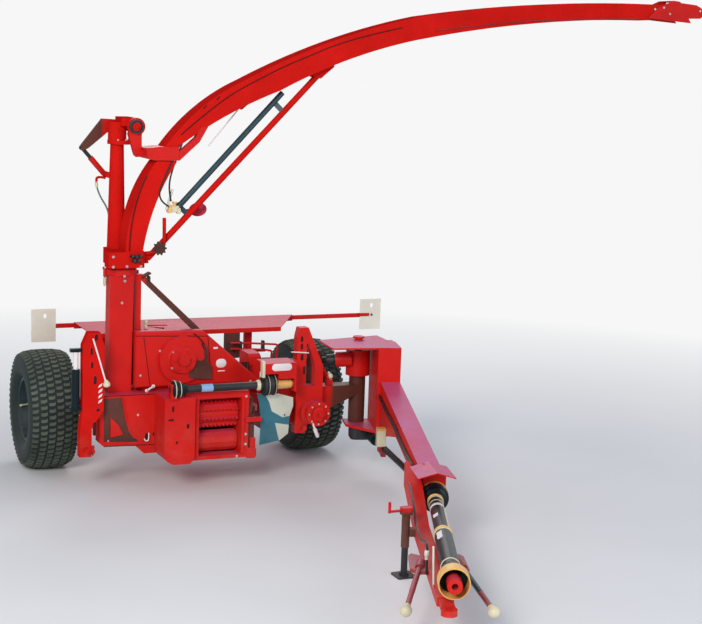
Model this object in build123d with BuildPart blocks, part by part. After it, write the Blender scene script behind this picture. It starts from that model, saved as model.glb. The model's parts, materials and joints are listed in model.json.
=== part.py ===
from build123d import *
import os
from math import cos, hypot, radians, sin

# Trailed forage harvester, parked on its two wheels and its jack, header taken off.
# Millimetres, +Z up, forward is -Y, the machine's own left side is +X.
# The origin is the centre of the hitch eye; the machine is laid out from the
# ground point midway between its wheels.

os.makedirs("parts", exist_ok=True)

SEAT = 0.3              # gap between a turning piece and what carries it
GAP = 6.0               # gap between pieces that move past each other

# wheels
TYRE_R, TYRE_W, SHOULDER = 435, 350, 42
RIM_R, RIM_W, FLANGE_H = 222, 270, 14
TRACK_HALF = 1030
STUB_R = 38
HUB_R, HUB_L = 75, 120

# frame
AXLE_SIZE = 110
AXLE_HALF = 800
RAIL_W, RAIL_H = 80, 110
RAIL_Z = 435            # centre height of wheels, axle and rails
FLOOR_Z = RAIL_Z - TYRE_R
RAIL_LEFT_X, RAIL_RIGHT_X = 400, -640
DECK_Z, DECK_T = 1000, 6
DECK_FRONT_Y, DECK_REAR_Y = -150, 380
DECK_RIGHT_X, DECK_LEFT_X = -715, 1060

BAR_RIGHT_X, BAR_LEFT_X, BAR_Z, BAR_W, BAR_T = -930, 1720, 975, 34, 10
BOARD_W, BOARD_H, BOARD_T = 185, 250, 3

# chopper housing, intake and drives
HOUSE_RIGHT_X, HOUSE_LEFT_X = -490, 330
HOUSE_FRONT_Y, HOUSE_REAR_Y = -690, -160
HOUSE_BOTTOM_Z, HOUSE_TOP_Z = 490, 1080
HOOD_RISE = 30
CASE_RIGHT_X, CASE_LEFT_X = -820, -266
CASE_FRONT_Y, CASE_REAR_Y, CASE_TOP_Z = -800, -690, 680
GUARD_T = 60
THROAT_RIGHT_X, THROAT_LEFT_X = -165, 145
THROAT_BOTTOM_Z, THROAT_TOP_Z = 254, 662
INTAKE_RIGHT_X, INTAKE_LEFT_X = -266, 200
INTAKE_FRONT_Y = -1000
INTAKE_BOTTOM_Z, INTAKE_TOP_Z = 228, 710
COVER_FRONT_Y = -1050
ROLL_Y = -870
UPPER_ROLL_Z, UPPER_ROLL_R = 540, 98
LOWER_ROLL_Z, LOWER_ROLL_R = 336, 76
ROLL_SHAFT_R = 22
BARS, BAR_H, COMB_T, TEETH = 10, 14, 9, 10
ARM_T = 50
CROSS_Y, CROSS_Z, CROSS_R = -1042, 752, 24
CLUTCH_X, CLUTCH_END_X, CLUTCH_R = 281, 377, 73
GUARD_END_X, GUARD_TOP_Z = 505, 910
SHIELD_RIGHT_X, SHIELD_LEFT_X, SHIELD_BOTTOM_Z, SHIELD_TOP_Z = 272, 530, 310, 672
SHIELD_T = 4
HOOK_PIN_R = 16
POST_LEFT_X = 584
STUB_SHAFT_R = 17.5     # splined drive shafts, taken plain
POST_REAR_Y, POST_T = -860, 70
POST_FRONT_Y = POST_REAR_Y - POST_T

# tower and spout
TOWER_TOP_Z, COLLAR_T = 1500, 40
TOWER_RIGHT_X, TOWER_LEFT_X = -735, -560
TOWER_FRONT_Y, TOWER_REAR_Y = -700, -585
SECOND_W, SECOND_T, HEAD_Z = 41, 40, 1440       # thin post beside the tower, on the housing's right wall
SPOUT_Y, SPOUT_W = -660, 180                    # the spout's own plane
TURN_X, TURN_Y = -628, -605                     # axis on which the spout turns
RING_R, RING_T, SPIGOT_R = 100, 20, 70
BASE_T = 110                                    # turning base that carries spout and mast
BASE_RIGHT_X, BASE_LEFT_X = -755, -500
LOW_OUTER_X, LOW_INNER_X = -634, -514           # foot of the lower spout section
SEAM_Z, CLAMP_TOP_Z = 2301, 2395                # clamp at the foot of the upper section
SHEET = 5
MAST_X, MAST_Y = -636, -497
MAST_FOOT_R, MAST_TOP_R, MAST_TOP_Z = 64, 47, 2400
LIFT_X, LIFT_Z, LIFT_R = -540, 2525, 24         # shaft that lifts the upper spout
LIFT_FRONT_Y, LIFT_REAR_Y = -652, -380
CRANK_X, CRANK_Z = -850, 2360
RAM_FOOT_X, RAM_FOOT_Z = -690, 2180
RAM_FRONT_Y, RAM_REAR_Y = -374, -346            # plane of the lift cylinder
RAM_R, RAM_L, RAM_ROD_R, RAM_ROD_FROM = 20, 150, 14, 92
PIN_R = 9
EYE_GAP = 1.2           # play of the rod's eye on the crank's pin
STRUT_R = 22
FLAP_T, FLAP_HINGE, TIP_HINGE = 4, (3632, 3500), (3812, 3500)

# drawbar
PIVOT_X, PIVOT_Y = 1120, -800
PIVOT_R, TUBE_R = 28, 60
DRAW_ANGLE = 15.3       # parked swing of the drawbar, towards the machine's right
OUTRIGGER_TOP_Z = 675
HEAD_TOP_Z, HEAD_T = 1000, 12
YOKE_BOTTOM_Z, YOKE_T = 390, 20
YOKE_U, YOKE_END_U, YOKE_V = 97, 262, -330      # box that joins the head plate to the lower plate
BEAM_U, BEAM_W, BEAM_H = 190, 140, 140          # rear beam, left of the pivot
KNEE_V = -1794          # the rear beam ends here
BOX_R, BOX_TOP_Z = 88, 930                      # swivel gearbox on the pivot

# front beam from under the rear one to the hitch
FRONT_X, FRONT_Y = 800, -2400
FRONT_ANGLE = 20.571    # its turn towards the machine's right
FRONT_L, FRONT_W = 2000, 90
EYE_R, EYE_T, EYE_REACH, EYE_Z = 17, 32, 163, 275
JACK_ALONG, JACK_S, JACK_R, JACK_LOW_Z, JACK_TOP_Z = 784, 100, 20, 180, 385
SHAFT_R, BEARING_T = 22, 36
PTO_BORE_L = 56

# the ground point between the wheels, seen from the hitch eye
ORIGIN_X = (FRONT_L + EYE_REACH) * sin(radians(FRONT_ANGLE)) - FRONT_X
ORIGIN_Y = (FRONT_L + EYE_REACH) * cos(radians(FRONT_ANGLE)) - FRONT_Y
ORIGIN_Z = -EYE_Z


def at(x, y, z):
    """A point given from the ground point between the wheels."""
    return Vector(ORIGIN_X + x, ORIGIN_Y + y, ORIGIN_Z + z)


def level(z, x=0, y=0):
    """A horizontal plane; its sketch axes are X and Y."""
    return Plane(origin=at(x, y, z), x_dir=(1, 0, 0), z_dir=(0, 0, 1))


def front(y, x=0, z=0):
    """An upright plane facing forward; its sketch axes are X and Z."""
    return Plane(origin=at(x, y, z), x_dir=(1, 0, 0), z_dir=(0, -1, 0))


def side(x, y=0, z=0):
    """An upright plane facing left (+X); its sketch axes are Y and Z."""
    return Plane(origin=at(x, y, z), x_dir=(0, 1, 0), z_dir=(1, 0, 0))


SWING = radians(DRAW_ANGLE)


def swung(u, v, z):
    """A point on the drawbar: u to its left of the pivot, v to the rear of it."""
    return at(PIVOT_X + u * cos(SWING) + v * sin(SWING), PIVOT_Y - u * sin(SWING) + v * cos(SWING), z)


def swung_level(z, u=0, v=0):
    """Horizontal on the drawbar; sketch axes u and v."""
    return Plane(origin=swung(u, v, z), x_dir=(cos(SWING), -sin(SWING), 0), z_dir=(0, 0, 1))


def swung_side(u):
    """Upright along the drawbar, facing its left; sketch axes v and Z."""
    return Plane(origin=swung(u, 0, 0), x_dir=(sin(SWING), cos(SWING), 0), z_dir=(cos(SWING), -sin(SWING), 0))


def swung_front(v):
    """Upright across the drawbar, facing forward; sketch axes u and Z."""
    return Plane(origin=swung(0, v, 0), x_dir=(cos(SWING), -sin(SWING), 0),
                 z_dir=(-sin(SWING), -cos(SWING), 0))


def along(start, end, roll=(0, 0, 1)):
    """A plane at start whose normal points to end."""
    line = (end - start).normalized()
    across = Vector(*roll).cross(line)
    return Plane(origin=start, x_dir=across, z_dir=line)


def save(part, name):
    part.label = name
    export_step(part, "parts/" + name + ".step")


# ---------------------------------------------------------------- wheels
TYRE_SIDE_R = 0.6 * TYRE_R + 0.4 * RIM_R        # where the tyre is widest
BEAD_W = RIM_W - 24

for hand, label in ((-1, "right"), (1, "left")):
    wheel_x = hand * TRACK_HALF
    meridian = Plane(origin=at(wheel_x, 0, RAIL_Z), x_dir=(hand, 0, 0), z_dir=(0, -1, 0))
    with BuildPart() as tyre:
        with BuildSketch(meridian):
            with BuildLine():
                half, bead, lip = TYRE_W / 2, BEAD_W / 2 - SEAT, RIM_R + FLANGE_H + SEAT
                Polyline((-bead, lip), (-bead, RIM_R + SEAT), (bead, RIM_R + SEAT), (bead, lip),
                         (half, TYRE_SIDE_R), (half - SHOULDER, TYRE_R), (SHOULDER - half, TYRE_R),
                         (-half, TYRE_SIDE_R), close=True)
            make_face()
        revolve(axis=Axis(at(wheel_x, 0, RAIL_Z), (hand, 0, 0)))
    save(tyre.part, "tyre_" + label)

    with BuildPart() as rim:
        # barrel between two flanges, dished disc and hub, closed on the outside
        with BuildSketch(meridian):
            with BuildLine():
                edge, wall = RIM_R + FLANGE_H, RIM_R - 10
                Polyline((-RIM_W / 2, edge), (-BEAD_W / 2, edge), (-BEAD_W / 2, RIM_R),
                         (BEAD_W / 2, RIM_R), (BEAD_W / 2, edge), (RIM_W / 2, edge), (RIM_W / 2, wall),
                         (4, wall), (34, 0.65 * RIM_R), (34, HUB_R), (HUB_L / 2, HUB_R - 22),
                         (HUB_L / 2 + 14, HUB_R - 30), (HUB_L / 2 + 14, 0), (HUB_L / 2, 0),
                         (HUB_L / 2, STUB_R + SEAT), (-HUB_L / 2, STUB_R + SEAT),
                         (-HUB_L / 2, HUB_R - 10), (22, HUB_R), (22, 0.63 * RIM_R), (-8, wall),
                         (-RIM_W / 2, wall), close=True)
            make_face()
        revolve(axis=Axis(at(wheel_x, 0, RAIL_Z), (hand, 0, 0)))
    save(rim.part, "rim_" + label)

# ---------------------------------------------------------------- frame
with BuildPart() as axle:
    with BuildSketch(side(-AXLE_HALF, 0, RAIL_Z)):
        Rectangle(AXLE_SIZE, AXLE_SIZE)
    extrude(amount=2 * AXLE_HALF)
    for hand in (-1, 1):
        reach = TRACK_HALF - AXLE_HALF
        with BuildSketch(Plane(origin=at(hand * AXLE_HALF, 0, RAIL_Z), x_dir=(0, 1, 0), z_dir=(hand, 0, 0))):
            Circle(STUB_R + 24)
        extrude(amount=reach - HUB_L / 2 - SEAT)
        with BuildSketch(Plane(origin=at(hand * AXLE_HALF, 0, RAIL_Z), x_dir=(0, 1, 0), z_dir=(hand, 0, 0))):
            Circle(STUB_R)
        extrude(amount=reach + HUB_L / 2 - SEAT)
save(axle.part, "axle")

with BuildPart() as main_frame:
    # two rails from the axle forward under the housing
    for x, rail_front_y in ((RAIL_RIGHT_X, CASE_REAR_Y), (RAIL_LEFT_X, PIVOT_Y + 60)):
        with BuildSketch(front(-AXLE_SIZE / 2, x, RAIL_Z)):
            Rectangle(RAIL_W, RAIL_H)
        extrude(amount=-rail_front_y - AXLE_SIZE / 2)
    # cross member behind the housing
    with BuildSketch(side(RAIL_RIGHT_X, -300, RAIL_Z)):
        Rectangle(100, RAIL_H)
    extrude(amount=RAIL_LEFT_X - RAIL_RIGHT_X)
    # outrigger to the drawbar pivot: deep at the rail, shallow at the pivot tube
    with BuildSketch(front(PIVOT_Y + 60, 0, 0)):
        with BuildLine():
            Polyline((RAIL_LEFT_X + RAIL_W / 2, OUTRIGGER_TOP_Z), (PIVOT_X, OUTRIGGER_TOP_Z),
                     (PIVOT_X, OUTRIGGER_TOP_Z - 60), (RAIL_LEFT_X + RAIL_W / 2 + 420, 500),
                     (RAIL_LEFT_X + RAIL_W / 2, RAIL_Z - RAIL_H / 2), close=True)
        make_face()
    extrude(amount=120)
    with BuildSketch(side(RAIL_LEFT_X - RAIL_W / 2, PIVOT_Y, 0)):
        with BuildLine():
            Polyline((60, OUTRIGGER_TOP_Z - 25), (-60, OUTRIGGER_TOP_Z - 25), (-60, RAIL_Z - RAIL_H / 2),
                     (60, RAIL_Z - RAIL_H / 2), close=True)
        make_face()
    extrude(amount=RAIL_W)
    # pivot tube of the drawbar, with its lower pin
    for z, height, radius in ((YOKE_BOTTOM_Z + SEAT, OUTRIGGER_TOP_Z + 65 - YOKE_BOTTOM_Z - SEAT, TUBE_R),
                              (YOKE_BOTTOM_Z - YOKE_T + SEAT, YOKE_T + 10, PIVOT_R)):
        with BuildSketch(level(z, PIVOT_X, PIVOT_Y)):
            Circle(radius)
        extrude(amount=height)
save(main_frame.part, "main_frame")

with BuildPart() as rear_deck:
    # flat sheet with a folded rim, its left end cut back towards the front
    with BuildSketch(level(DECK_Z - DECK_T)):
        with BuildLine():
            Polyline((DECK_RIGHT_X, DECK_REAR_Y), (DECK_LEFT_X, DECK_REAR_Y),
                     (DECK_LEFT_X - 300, DECK_FRONT_Y), (DECK_RIGHT_X, DECK_FRONT_Y), close=True)
        make_face()
    extrude(amount=DECK_T)
    for edge_y, depth in ((DECK_FRONT_Y, 34), (DECK_REAR_Y - DECK_T, 50)):
        run = DECK_LEFT_X - DECK_RIGHT_X - (300 if edge_y < 0 else 0)
        with BuildSketch(side(DECK_RIGHT_X, edge_y, DECK_Z)):
            Rectangle(DECK_T, depth, align=(Align.MIN, Align.MAX))
        extrude(amount=run)
    # brackets that carry the deck on the axle
    for x in (-560, 0, 560):
        with BuildSketch(front(AXLE_SIZE / 2, x, 0)):
            with Locations((0, RAIL_Z + AXLE_SIZE / 2)):
                Rectangle(60, DECK_Z - DECK_T - RAIL_Z - AXLE_SIZE / 2, align=(Align.CENTER, Align.MIN))
        extrude(amount=30)
save(rear_deck.part, "rear_deck")

with BuildPart() as marker_bar:
    with BuildSketch(side(BAR_RIGHT_X, DECK_REAR_Y, BAR_Z)):
        Rectangle(BAR_T, BAR_W, align=(Align.MIN, Align.CENTER))
    extrude(amount=BAR_LEFT_X - BAR_RIGHT_X)
    for x in (BAR_RIGHT_X - 20, BAR_LEFT_X - 60):
        with BuildSketch(side(x, DECK_REAR_Y - 16, BAR_Z)):
            Rectangle(16, BAR_W + 24, align=(Align.MIN, Align.CENTER))
        extrude(amount=80)
save(marker_bar.part, "marker_bar")

with BuildPart() as marker_boards:
    for x in (BAR_RIGHT_X - 20, BAR_LEFT_X + 20):
        with BuildSketch(front(DECK_REAR_Y - 16, x, BAR_Z + 10)):
            Rectangle(BOARD_W, BOARD_H)
            with Locations((10, 72)):
                Ellipse(13, 18, mode=Mode.SUBTRACT)
        extrude(amount=BOARD_T)
save(marker_boards.part, "marker_boards")

# ---------------------------------------------------------------- chopper
# the shaft from the housing's gearbox to the box on the drawbar's pivot
SIDE_FROM, SIDE_TO = at(HOUSE_LEFT_X + 130, -520, 800), at(PIVOT_X - 170, PIVOT_Y + 13, 856)
SIDE_DIR = (SIDE_TO - SIDE_FROM).normalized()

with BuildPart() as chopper_housing:
    with BuildSketch(front(HOUSE_REAR_Y)):
        with BuildLine():
            Polyline((HOUSE_RIGHT_X, HOUSE_BOTTOM_Z), (HOUSE_LEFT_X, HOUSE_BOTTOM_Z), (HOUSE_LEFT_X, 690),
                     (-40, 1010), (-40, HOUSE_TOP_Z), (HOUSE_RIGHT_X, HOUSE_TOP_Z), close=True)
        make_face()
    extrude(amount=HOUSE_REAR_Y - HOUSE_FRONT_Y)
    # gearbox on its left side
    with BuildSketch(side(HOUSE_LEFT_X, -520, 745)):
        RectangleRounded(200, 300, 30)
    extrude(amount=90)
    # its output boss looks along the shaft to the drawbar's pivot
    with BuildSketch(along(SIDE_FROM - SIDE_DIR * 50, SIDE_TO)):
        Circle(62)
    extrude(amount=50)
save(chopper_housing.part, "chopper_housing")

with BuildPart() as drum_hood:
    with BuildSketch(side(HOUSE_RIGHT_X + 20)):
        with BuildLine():
            Line((HOUSE_FRONT_Y, HOUSE_TOP_Z), (HOUSE_REAR_Y, HOUSE_TOP_Z))
            ThreePointArc((HOUSE_REAR_Y, HOUSE_TOP_Z),
                          (0.5 * (HOUSE_FRONT_Y + HOUSE_REAR_Y), HOUSE_TOP_Z + HOOD_RISE),
                          (HOUSE_FRONT_Y, HOUSE_TOP_Z))
        make_face()
    extrude(amount=-HOUSE_RIGHT_X - 140)
    # slot for the sharpening stone, across the top
    with BuildSketch(level(HOUSE_TOP_Z + HOOD_RISE - 26, -330, -500)):
        Rectangle(150, 36)
    extrude(amount=60, mode=Mode.SUBTRACT)
save(drum_hood.part, "drum_hood")

with BuildPart() as drive_guard:
    with BuildSketch(front(HOUSE_FRONT_Y)):
        with BuildLine():
            Polyline((TOWER_LEFT_X + 4, 1112), (-67, 1106), (412, 690), (412, 660), (HOUSE_LEFT_X - 100, 660),
                     (HOUSE_LEFT_X - 100, INTAKE_TOP_Z + 2), (TOWER_LEFT_X + 4, INTAKE_TOP_Z + 2), close=True)
        make_face()
    extrude(amount=GUARD_T)
    chamfer(drive_guard.faces().sort_by(Axis.Y)[0].outer_wire().edges(), 10)
    # bearing of the chopping drum
    for depth, radius in ((26, 168), (52, 92), (74, 40)):
        with BuildSketch(front(HOUSE_FRONT_Y - GUARD_T, -221, 905)):
            Circle(radius)
        extrude(amount=depth)
    with BuildSketch(front(HOUSE_FRONT_Y - GUARD_T - 52, -221, 905)):
        with PolarLocations(68, 6):
            RegularPolygon(11, 6)
    extrude(amount=9)
save(drive_guard.part, "drive_guard")

with BuildPart() as blower_case:
    # shallow front part across both rails, deep rear part under the tower
    with BuildSketch(front(CASE_REAR_Y)):
        with BuildLine():
            Polyline((CASE_LEFT_X, CASE_TOP_Z), (CASE_RIGHT_X, CASE_TOP_Z), (CASE_RIGHT_X, 345), (-795, 322),
                     (-560, 310), (-500, 252), (CASE_LEFT_X, 252), close=True)
        make_face()
    extrude(amount=CASE_REAR_Y - CASE_FRONT_Y)
    with BuildSketch(level(HOUSE_BOTTOM_Z)):
        with BuildLine():
            Polyline((CASE_RIGHT_X, CASE_REAR_Y), (HOUSE_RIGHT_X, CASE_REAR_Y),
                     (HOUSE_RIGHT_X, TOWER_REAR_Y + 10), (CASE_RIGHT_X, TOWER_REAR_Y + 10), close=True)
        make_face()
    extrude(amount=CASE_TOP_Z - HOUSE_BOTTOM_Z)
save(blower_case.part, "blower_case")

with BuildPart() as chain_cover:
    # tall cover with a round foot, in front of the intake's right wall
    cover_x, cover_r = -345, 85
    for back, x_left in ((CASE_FRONT_Y, INTAKE_RIGHT_X - 4), (INTAKE_FRONT_Y, cover_x + cover_r + 50)):
        with BuildSketch(front(back)):
            with BuildLine():
                top, foot = CASE_TOP_Z + 10, 305
                Polyline((cover_x, foot - cover_r), (x_left - 30, foot - cover_r), (x_left, foot - 40),
                         (x_left, top), (cover_x - cover_r, top), (cover_x - cover_r, foot))
                ThreePointArc((cover_x - cover_r, foot),
                              (cover_x - 0.7071 * cover_r, foot - 0.7071 * cover_r),
                              (cover_x, foot - cover_r))
            make_face()
        extrude(amount=back - COVER_FRONT_Y)
    # bearing block for the right end of the cross shaft
    with BuildSketch(side(cover_x - 50, CROSS_Y, 0)):
        with Locations((0, CASE_TOP_Z + 10)):
            Rectangle(76, CROSS_Z - CASE_TOP_Z + 30, align=(Align.CENTER, Align.MIN))
        with Locations((0, CROSS_Z)):
            Circle(CROSS_R + SEAT, mode=Mode.SUBTRACT)
    extrude(amount=44)
save(chain_cover.part, "chain_cover")

with BuildPart() as intake_frame:
    with BuildSketch(front(HOUSE_FRONT_Y)):
        with BuildLine():
            Polyline((INTAKE_RIGHT_X, INTAKE_BOTTOM_Z + 40), (INTAKE_RIGHT_X, INTAKE_TOP_Z),
                     (INTAKE_LEFT_X, INTAKE_TOP_Z), (INTAKE_LEFT_X, INTAKE_BOTTOM_Z),
                     (INTAKE_RIGHT_X + 50, INTAKE_BOTTOM_Z), close=True)
        make_face()
        with Locations((0.5 * (THROAT_RIGHT_X + THROAT_LEFT_X), 0.5 * (THROAT_BOTTOM_Z + THROAT_TOP_Z))):
            Rectangle(THROAT_LEFT_X - THROAT_RIGHT_X, THROAT_TOP_Z - THROAT_BOTTOM_Z, mode=Mode.SUBTRACT)
    extrude(amount=HOUSE_FRONT_Y - INTAKE_FRONT_Y)
    # bores for the two roll shafts
    with BuildSketch(side(INTAKE_RIGHT_X + 30, ROLL_Y, 0)):
        with Locations((0, UPPER_ROLL_Z), (0, LOWER_ROLL_Z)):
            Circle(ROLL_SHAFT_R + SEAT)
    extrude(amount=INTAKE_LEFT_X - INTAKE_RIGHT_X, mode=Mode.SUBTRACT)
save(intake_frame.part, "intake_frame")

# ---------------------------------------------------------------- feed rolls
ROLL_LEN = THROAT_LEFT_X - THROAT_RIGHT_X - 2 * GAP
ROLL_FROM_X = THROAT_RIGHT_X + GAP
TOOTH_PITCH = ROLL_LEN / TEETH

with BuildPart() as feed_roll_upper:
    with BuildSketch(side(ROLL_FROM_X, ROLL_Y, UPPER_ROLL_Z)):
        Circle(UPPER_ROLL_R - BAR_H)
    extrude(amount=ROLL_LEN)
    with BuildSketch(side(INTAKE_RIGHT_X + 30 + SEAT, ROLL_Y, UPPER_ROLL_Z)):
        Circle(ROLL_SHAFT_R)
    extrude(amount=INTAKE_LEFT_X + ARM_T + 14 - INTAKE_RIGHT_X - 30)
    # toothed bars: one comb, repeated round the drum
    comb_plane = Plane(origin=at(ROLL_FROM_X, ROLL_Y, UPPER_ROLL_Z), x_dir=(1, 0, 0), z_dir=(0, -1, 0))
    with BuildSketch(comb_plane.offset(-COMB_T / 2)):
        with BuildLine():
            root, tip = UPPER_ROLL_R - BAR_H - 10, UPPER_ROLL_R + BAR_H
            saw = [(0, root)]
            for tooth in range(TEETH):
                saw += [(tooth * TOOTH_PITCH, UPPER_ROLL_R - 4), ((tooth + 0.35) * TOOTH_PITCH, tip),
                        ((tooth + 0.65) * TOOTH_PITCH, tip)]
            saw += [(ROLL_LEN, UPPER_ROLL_R - 4), (ROLL_LEN, root)]
            Polyline(*saw, close=True)
        make_face()
    bar = extrude(amount=COMB_T, mode=Mode.PRIVATE)
    spin = Axis(at(ROLL_FROM_X, ROLL_Y, UPPER_ROLL_Z), (1, 0, 0))
    for turn in range(BARS):
        add(bar.rotate(spin, 360 * turn / BARS))
save(feed_roll_upper.part, "feed_roll_upper")

with BuildPart() as feed_roll_lower:
    # smooth roll with shallow flats between its ribs
    with BuildSketch(side(ROLL_FROM_X, ROLL_Y, LOWER_ROLL_Z)):
        RegularPolygon(LOWER_ROLL_R, 12)
    extrude(amount=ROLL_LEN)
    with BuildSketch(side(INTAKE_RIGHT_X + 30 + SEAT, ROLL_Y, LOWER_ROLL_Z)):
        Circle(ROLL_SHAFT_R)
    extrude(amount=INTAKE_LEFT_X + ARM_T + 14 - INTAKE_RIGHT_X - 30)
save(feed_roll_lower.part, "feed_roll_lower")

with BuildPart() as roll_arm:
    # arm plate on the intake's left wall that carries both roll shafts
    with BuildSketch(side(INTAKE_LEFT_X)):
        with BuildLine():
            Polyline((ROLL_Y - 70, 640), (ROLL_Y - 112, 560), (ROLL_Y - 112, 300), (ROLL_Y - 60, 215),
                     (ROLL_Y + 60, 215), (ROLL_Y + 110, 300), (ROLL_Y + 110, 600), (ROLL_Y + 60, 660),
                     close=True)
        make_face()
        with Locations((ROLL_Y, UPPER_ROLL_Z), (ROLL_Y, LOWER_ROLL_Z)):
            Circle(ROLL_SHAFT_R + SEAT, mode=Mode.SUBTRACT)
    extrude(amount=ARM_T)
save(roll_arm.part, "roll_arm")

# ---------------------------------------------------------------- cross drive
CROSS_FROM_X = -395
cross_line = Axis(at(CROSS_FROM_X, CROSS_Y, CROSS_Z), (1, 0, 0))
cross_plane = Plane(origin=at(0, CROSS_Y, CROSS_Z), x_dir=(1, 0, 0), z_dir=(0, -1, 0))

with BuildPart() as cross_shaft:
    with BuildSketch(cross_plane):
        with BuildLine():
            Polyline((CROSS_FROM_X, 0), (CROSS_FROM_X, CROSS_R), (-348, CROSS_R), (-340, 42), (-290, 31),
                     (-280, CROSS_R + 2), (CLUTCH_X - 22, CROSS_R + 2), (CLUTCH_X - 22, 40), (CLUTCH_X, 40),
                     (CLUTCH_X, 0), close=True)
        make_face()
        # friction clutch
        with BuildLine():
            Polyline((CLUTCH_X, 0), (CLUTCH_X, CLUTCH_R - 8), (CLUTCH_X + 4, CLUTCH_R),
                     (CLUTCH_END_X - 10, CLUTCH_R), (CLUTCH_END_X, CLUTCH_R - 18), (CLUTCH_END_X, 0),
                     close=True)
        make_face()
    revolve(axis=cross_line)
save(cross_shaft.part, "cross_shaft")

with BuildPart() as drive_sleeve:
    with BuildSketch(cross_plane):
        with BuildLine():
            Polyline((CLUTCH_END_X, 0), (CLUTCH_END_X, 34), (GUARD_END_X - 2 * GAP, 31),
                     (GUARD_END_X - 2 * GAP, 20), (GUARD_END_X + 15, 20), (GUARD_END_X + 15, 0), close=True)
        make_face()
    revolve(axis=cross_line)
save(drive_sleeve.part, "drive_sleeve")

with BuildPart() as clutch_guard:
    # roof over clutch and sleeve, its end wall carries the shaft
    with BuildSketch(front(-900)):
        with BuildLine():
            Polyline((CLUTCH_X + 4, CROSS_Z + CLUTCH_R + 10), (CLUTCH_X + 104, CROSS_Z + CLUTCH_R + 10),
                     (CLUTCH_X + 104, CROSS_Z + 44), (GUARD_END_X, CROSS_Z + 44), (GUARD_END_X, CROSS_Z - 50),
                     (GUARD_END_X + 15, CROSS_Z - 50), (GUARD_END_X + 15, GUARD_TOP_Z),
                     (CLUTCH_X + 4, GUARD_TOP_Z),
                     close=True)
        make_face()
    extrude(amount=-CROSS_Y - 900 + 46)
    with BuildSketch(side(GUARD_END_X, CROSS_Y, CROSS_Z)):
        Circle(20 + SEAT)
    extrude(amount=15, mode=Mode.SUBTRACT)
    # tie back to the left header post
    with BuildSketch(side(GUARD_END_X, -900, 860)):
        Rectangle(30, 70, align=(Align.MAX, Align.CENTER))
    extrude(amount=POST_LEFT_X - GUARD_END_X)
save(clutch_guard.part, "clutch_guard")

with BuildPart() as folded_shield:
    # galvanised sheet folded round three sides in front of the outrigger
    with BuildSketch(level(SHIELD_BOTTOM_Z)):
        with BuildLine():
            x0, x1, t = SHIELD_RIGHT_X, SHIELD_LEFT_X, SHIELD_T
            Polyline((x0, -862), (x0, -965), (x0 + 38, -1005), (x1, -1005), (x1, -862), (x1 - t, -862),
                     (x1 - t, t - 1005), (x0 + 38 + t / 2, t - 1005), (x0 + t, t / 2 - 965), (x0 + t, -862),
                     close=True)
        make_face()
    extrude(amount=SHIELD_TOP_Z - SHIELD_BOTTOM_Z)
    # lower left corner cut away
    with BuildSketch(front(-850)):
        with BuildLine():
            Polyline((SHIELD_LEFT_X + 5, SHIELD_BOTTOM_Z - 5), (SHIELD_LEFT_X + 5, SHIELD_BOTTOM_Z + 90),
                     (SHIELD_LEFT_X - 135, SHIELD_BOTTOM_Z - 5), close=True)
        make_face()
    extrude(amount=200, mode=Mode.SUBTRACT)
    # tab that screws to the front of the outrigger
    with BuildSketch(side(SHIELD_LEFT_X - 60, PIVOT_Y - 60, 560)):
        Rectangle(SHIELD_T, 90, align=(Align.MAX, Align.CENTER))
    extrude(amount=60)
save(folded_shield.part, "folded_shield")

# ---------------------------------------------------------------- header posts
with BuildPart() as header_post_left:
    # A-shaped plate post in front of the outrigger
    with BuildSketch(front(POST_REAR_Y)):
        with BuildLine():
            Polyline((584, 358), (584, 1062), (600, 1128), (668, 1128), (790, 840), (790, 575), (712, 575),
                     (664, 358), close=True)
        make_face()
        with BuildLine():
            Polyline((656, 700), (656, 1010), (672, 1010), (726, 850), (726, 700), close=True)
        make_face(mode=Mode.SUBTRACT)
    extrude(amount=POST_T)
    # diagonal stay from the post's head back down to the outrigger
    stay_from, stay_to = at(688, POST_REAR_Y + 14, 1050), at(892, PIVOT_Y, OUTRIGGER_TOP_Z + 22)
    with BuildSketch(along(stay_from, stay_to)):
        Circle(14)
    extrude(amount=(stay_to - stay_from).length)
    with BuildSketch(level(OUTRIGGER_TOP_Z, 892, PIVOT_Y)):
        Rectangle(46, 40)
    extrude(amount=40)
    with BuildSketch(front(POST_REAR_Y + 28, 678, 1050)):
        Rectangle(44, 60)
    extrude(amount=28)
    # round gearbox that drives the header, low on the post's front
    for depth, x, radius in ((36, 690, 78), (66, 736, 92), (80, 736, 44), (124, 736, STUB_SHAFT_R)):
        with BuildSketch(front(POST_FRONT_Y, x, 506)):
            Circle(radius)
        extrude(amount=depth)
    with BuildSketch(front(POST_FRONT_Y - 66, 736, 506)):
        with PolarLocations(74, 8):
            RegularPolygon(9, 6)
    extrude(amount=8)
    # pin that carries the header
    with BuildSketch(front(POST_REAR_Y - 10, 640, 400)):
        Circle(HOOK_PIN_R)
    extrude(amount=POST_T + 40)
save(header_post_left.part, "header_post_left")

with BuildPart() as header_post_right:
    with BuildSketch(front(CASE_FRONT_Y)):
        with BuildLine():
            Polyline((-893, 272), (-893, 470), (-812, 600), (-808, 1046), (-838, 1138), (-921, 1141),
                     (-960, 1053), (-960, 600), (-977, 440), (-977, 272), close=True)
        make_face()
    extrude(amount=POST_T)
    # foot bracket on the side of the blower casing
    with BuildSketch(level(520)):
        with BuildLine():
            Polyline((CASE_RIGHT_X, CASE_FRONT_Y), (-935, CASE_FRONT_Y), (-935, CASE_FRONT_Y + 70),
                     (CASE_RIGHT_X, CASE_FRONT_Y + 220), close=True)
        make_face()
    extrude(amount=140)
    with BuildSketch(front(CASE_FRONT_Y + 6, -935, 330)):
        Circle(HOOK_PIN_R)
    extrude(amount=POST_T + 56)
save(header_post_right.part, "header_post_right")

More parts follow.
